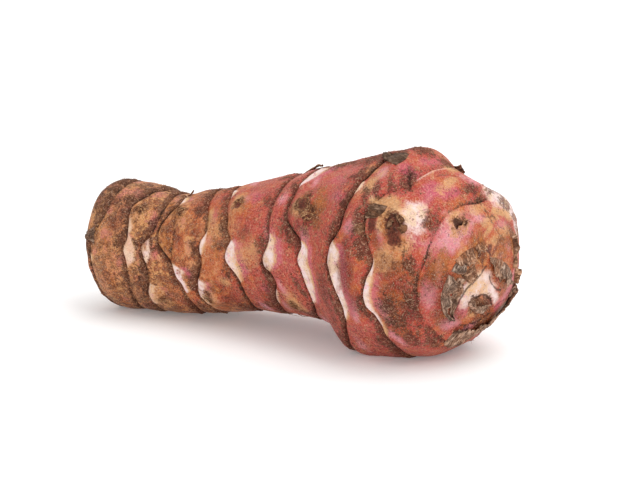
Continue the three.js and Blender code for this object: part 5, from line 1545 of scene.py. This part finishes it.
def crumb_material():
    material = bpy.data.materials.new("dry soil")
    material.use_nodes = True
    tree = material.node_tree
    shader = tree.nodes["Principled BSDF"]
    shader.inputs["Roughness"].default_value = 0.9
    shader.inputs["Specular IOR Level"].default_value = 0.15
    place = place_in_mm(tree)
    colour = mix(tree, ramp(tree, 0.35, 0.6, lumps(tree, place, 1.5)), (0.085, 0.036, 0.022),
                 (0.26, 0.125, 0.075))
    colour = mix(tree, ramp(tree, 0.54, 0.66, lumps(tree, place, 0.5)), colour, (0.54, 0.34, 0.23))
    tree.links.new(colour, shader.inputs["Base Color"])
    bump = add_node(tree, "ShaderNodeBump", {"Height": lumps(tree, place, 0.12), "Distance": 0.04 * MM})
    tree.links.new(bump.outputs[0], shader.inputs["Normal"])
    return material


crumbs = grow_on_skin("soil_crumbs", *crumbs_group(crumb_material()), {"Density": 1.3e6, "Seed": 5})

# %% [markdown]
# ## Frayed fibres
#
# Where a scale leaf tore off, its veins stay behind as stiff hairs in the crease. Real hair systems would do,
# but an exported model drops them. So Geometry Nodes draw a short line, sweep a small ring along it with a
# taper, and plant copies that lean with the tuber. Then slow noise bends them all differently.

# %% Fibres in the creases
def fibres_group(material):
    group, given, out, identifiers = new_geometry_group("frayed fibres", {
        "Density": (FLOAT, 1e6), "Shortest": (FLOAT, 0.6), "Longest": (FLOAT, 2.2), "Thickness": (FLOAT,
                0.04 * MM),
        "Bend": (FLOAT, 0.9 * MM), "Seed": ("NodeSocketInt", 11)})
    points = scattered_points(group, given, "fibres")
    line = add_node(group, "GeometryNodeCurvePrimitiveLine",
                    {"Start": (-0.2 * MM, 0, -0.05 * MM), "End": (MM, 0, 0)})
    fine_line = add_node(group, "GeometryNodeResampleCurve",
                         {"Curve": line.outputs[0], "Count": 5}).outputs[0]
    ring = add_node(group, "GeometryNodeCurvePrimitiveCircle",
                    {"Resolution": 3, "Radius": given["Thickness"]})
    taper = calc(group, "SUBTRACT", 1.1, add_node(group, "GeometryNodeSplineParameter").outputs["Factor"])
    fibre = add_node(group, "GeometryNodeCurveToMesh", {
        "Curve": fine_line, "Profile Curve": ring.outputs[0], "Scale": taper, "Fill Caps": True}).outputs[0]
    along_tuber = add_node(group, "FunctionNodeAlignRotationToVector", {
        "Rotation": points.outputs["Rotation"], "Vector": (1, 0, 0)}, axis="X", pivot_axis="Z").outputs[0]
    lean = random_vector(group, (-0.3, -0.5, -1.3), (0.3, 0.0, 1.3), given["Seed"])
    turned = add_node(group, "FunctionNodeRotateRotation", {"Rotation": along_tuber, "Rotate By": lean},
                      rotation_space="LOCAL").outputs[0]
    length = add_node(group, "FunctionNodeRandomValue", {2: given["Shortest"], 3: given["Longest"],
                                                         "Seed": given["Seed"]}, data_type="FLOAT").outputs[1]
    scale = add_node(group, "ShaderNodeCombineXYZ", {0: length, 1: 1.0, 2: 1.0}).outputs[0]
    placed = add_node(group, "GeometryNodeInstanceOnPoints", {
        "Points": points.outputs["Points"], "Instance": fibre, "Rotation": turned, "Scale": scale})
    real = add_node(group, "GeometryNodeRealizeInstances", {"Geometry": placed.outputs[0]}).outputs[0]
    finished(group, out, shaken(group, real, 2.2 * MM, given["Bend"]), material)
    return group, identifiers


def fibre_material():
    material = bpy.data.materials.new("frayed fibre")
    material.use_nodes = True
    tree = material.node_tree
    shader = tree.nodes["Principled BSDF"]
    shader.inputs["Roughness"].default_value = 0.7
    place = place_in_mm(tree)
    colour = mix(tree, ramp(tree, 0.4, 0.6, lumps(tree, place, 1.0)), (0.09, 0.035, 0.018), (0.4, 0.2, 0.09))
    colour = mix(tree, ramp(tree, 0.56, 0.66, lumps(tree, place, 2.5)), colour, (0.66, 0.42, 0.24))
    tree.links.new(colour, shader.inputs["Base Color"])
    return material


fibres = grow_on_skin("frayed_fibres", *fibres_group(fibre_material()), {"Density": 1.2e6, "Seed": 11})

# %% [markdown]
# ## Floor and light
#
# The tuber lies on a white surface in soft, even light, with a pale shadow in front of it. One large lamp
# overhead gives that shadow, a smaller one from the right models the rings, and a low one in front keeps the
# underside readable. A white room fills in the rest. The floor glows a little, so that it turns white before
# the skin does. A ready-made surroundings map could light it too, but lamps can be named and moved.

# %% Floor
def make_floor():
    mesh = bpy.data.meshes.new("floor")
    half = 4.0
    mesh.from_pydata([(-half, -half, 0), (half, -half, 0), (half, half, 0), (-half, half, 0)], [],
                     [(0, 1, 2, 3)])
    floor = bpy.data.objects.new("floor", mesh)
    bpy.context.scene.collection.objects.link(floor)
    material = bpy.data.materials.new("pale floor")
    material.use_nodes = True
    material.node_tree.nodes["Principled BSDF"].inputs["Base Color"].default_value = (0.9, 0.895, 0.89, 1)
    material.node_tree.nodes["Principled BSDF"].inputs["Roughness"].default_value = 0.7
    material.node_tree.nodes["Principled BSDF"].inputs["Emission Color"].default_value = (0.97, 0.98, 1, 1)
    material.node_tree.nodes["Principled BSDF"].inputs["Emission Strength"].default_value = 0.13
    mesh.materials.append(material)


def soft_light(name, azimuth, elevation, distance, size, power, colour=(1, 1, 1)):
    """A square lamp that faces the tuber, from a direction in degrees."""
    lamp = bpy.data.lights.new(name, "AREA")
    lamp.size, lamp.energy, lamp.color = size, power, colour
    holder = bpy.data.objects.new(name, lamp)
    a, e = math.radians(azimuth), math.radians(elevation)
    back = Vector((math.sin(a) * math.cos(e), -math.cos(a) * math.cos(e), math.sin(e)))
    holder.location = back * distance + Vector((0, 0, 0.025))
    holder.rotation_euler = back.to_track_quat("Z", "Y").to_euler()
    bpy.context.scene.collection.objects.link(holder)


LIGHTS = (  # name, degrees round, degrees up, distance and size in metres, power in watts
    ("overhead softbox", 150, 68, 1.6, 1.6, 16), ("key from the right", 70, 45, 1.5, 0.7, 4.5),
    ("low front fill", 0, 14, 1.5, 0.9, 3))


def light_room():
    world = bpy.data.worlds.new("white room")
    world.use_nodes = True
    world.node_tree.nodes["Background"].inputs["Color"].default_value = (1, 1, 1, 1)
    world.node_tree.nodes["Background"].inputs["Strength"].default_value = 0.73
    bpy.context.scene.world = world
    for light in LIGHTS:
        soft_light(*light)


make_floor()
light_room()
bpy.context.scene.view_settings.view_transform = "Standard"
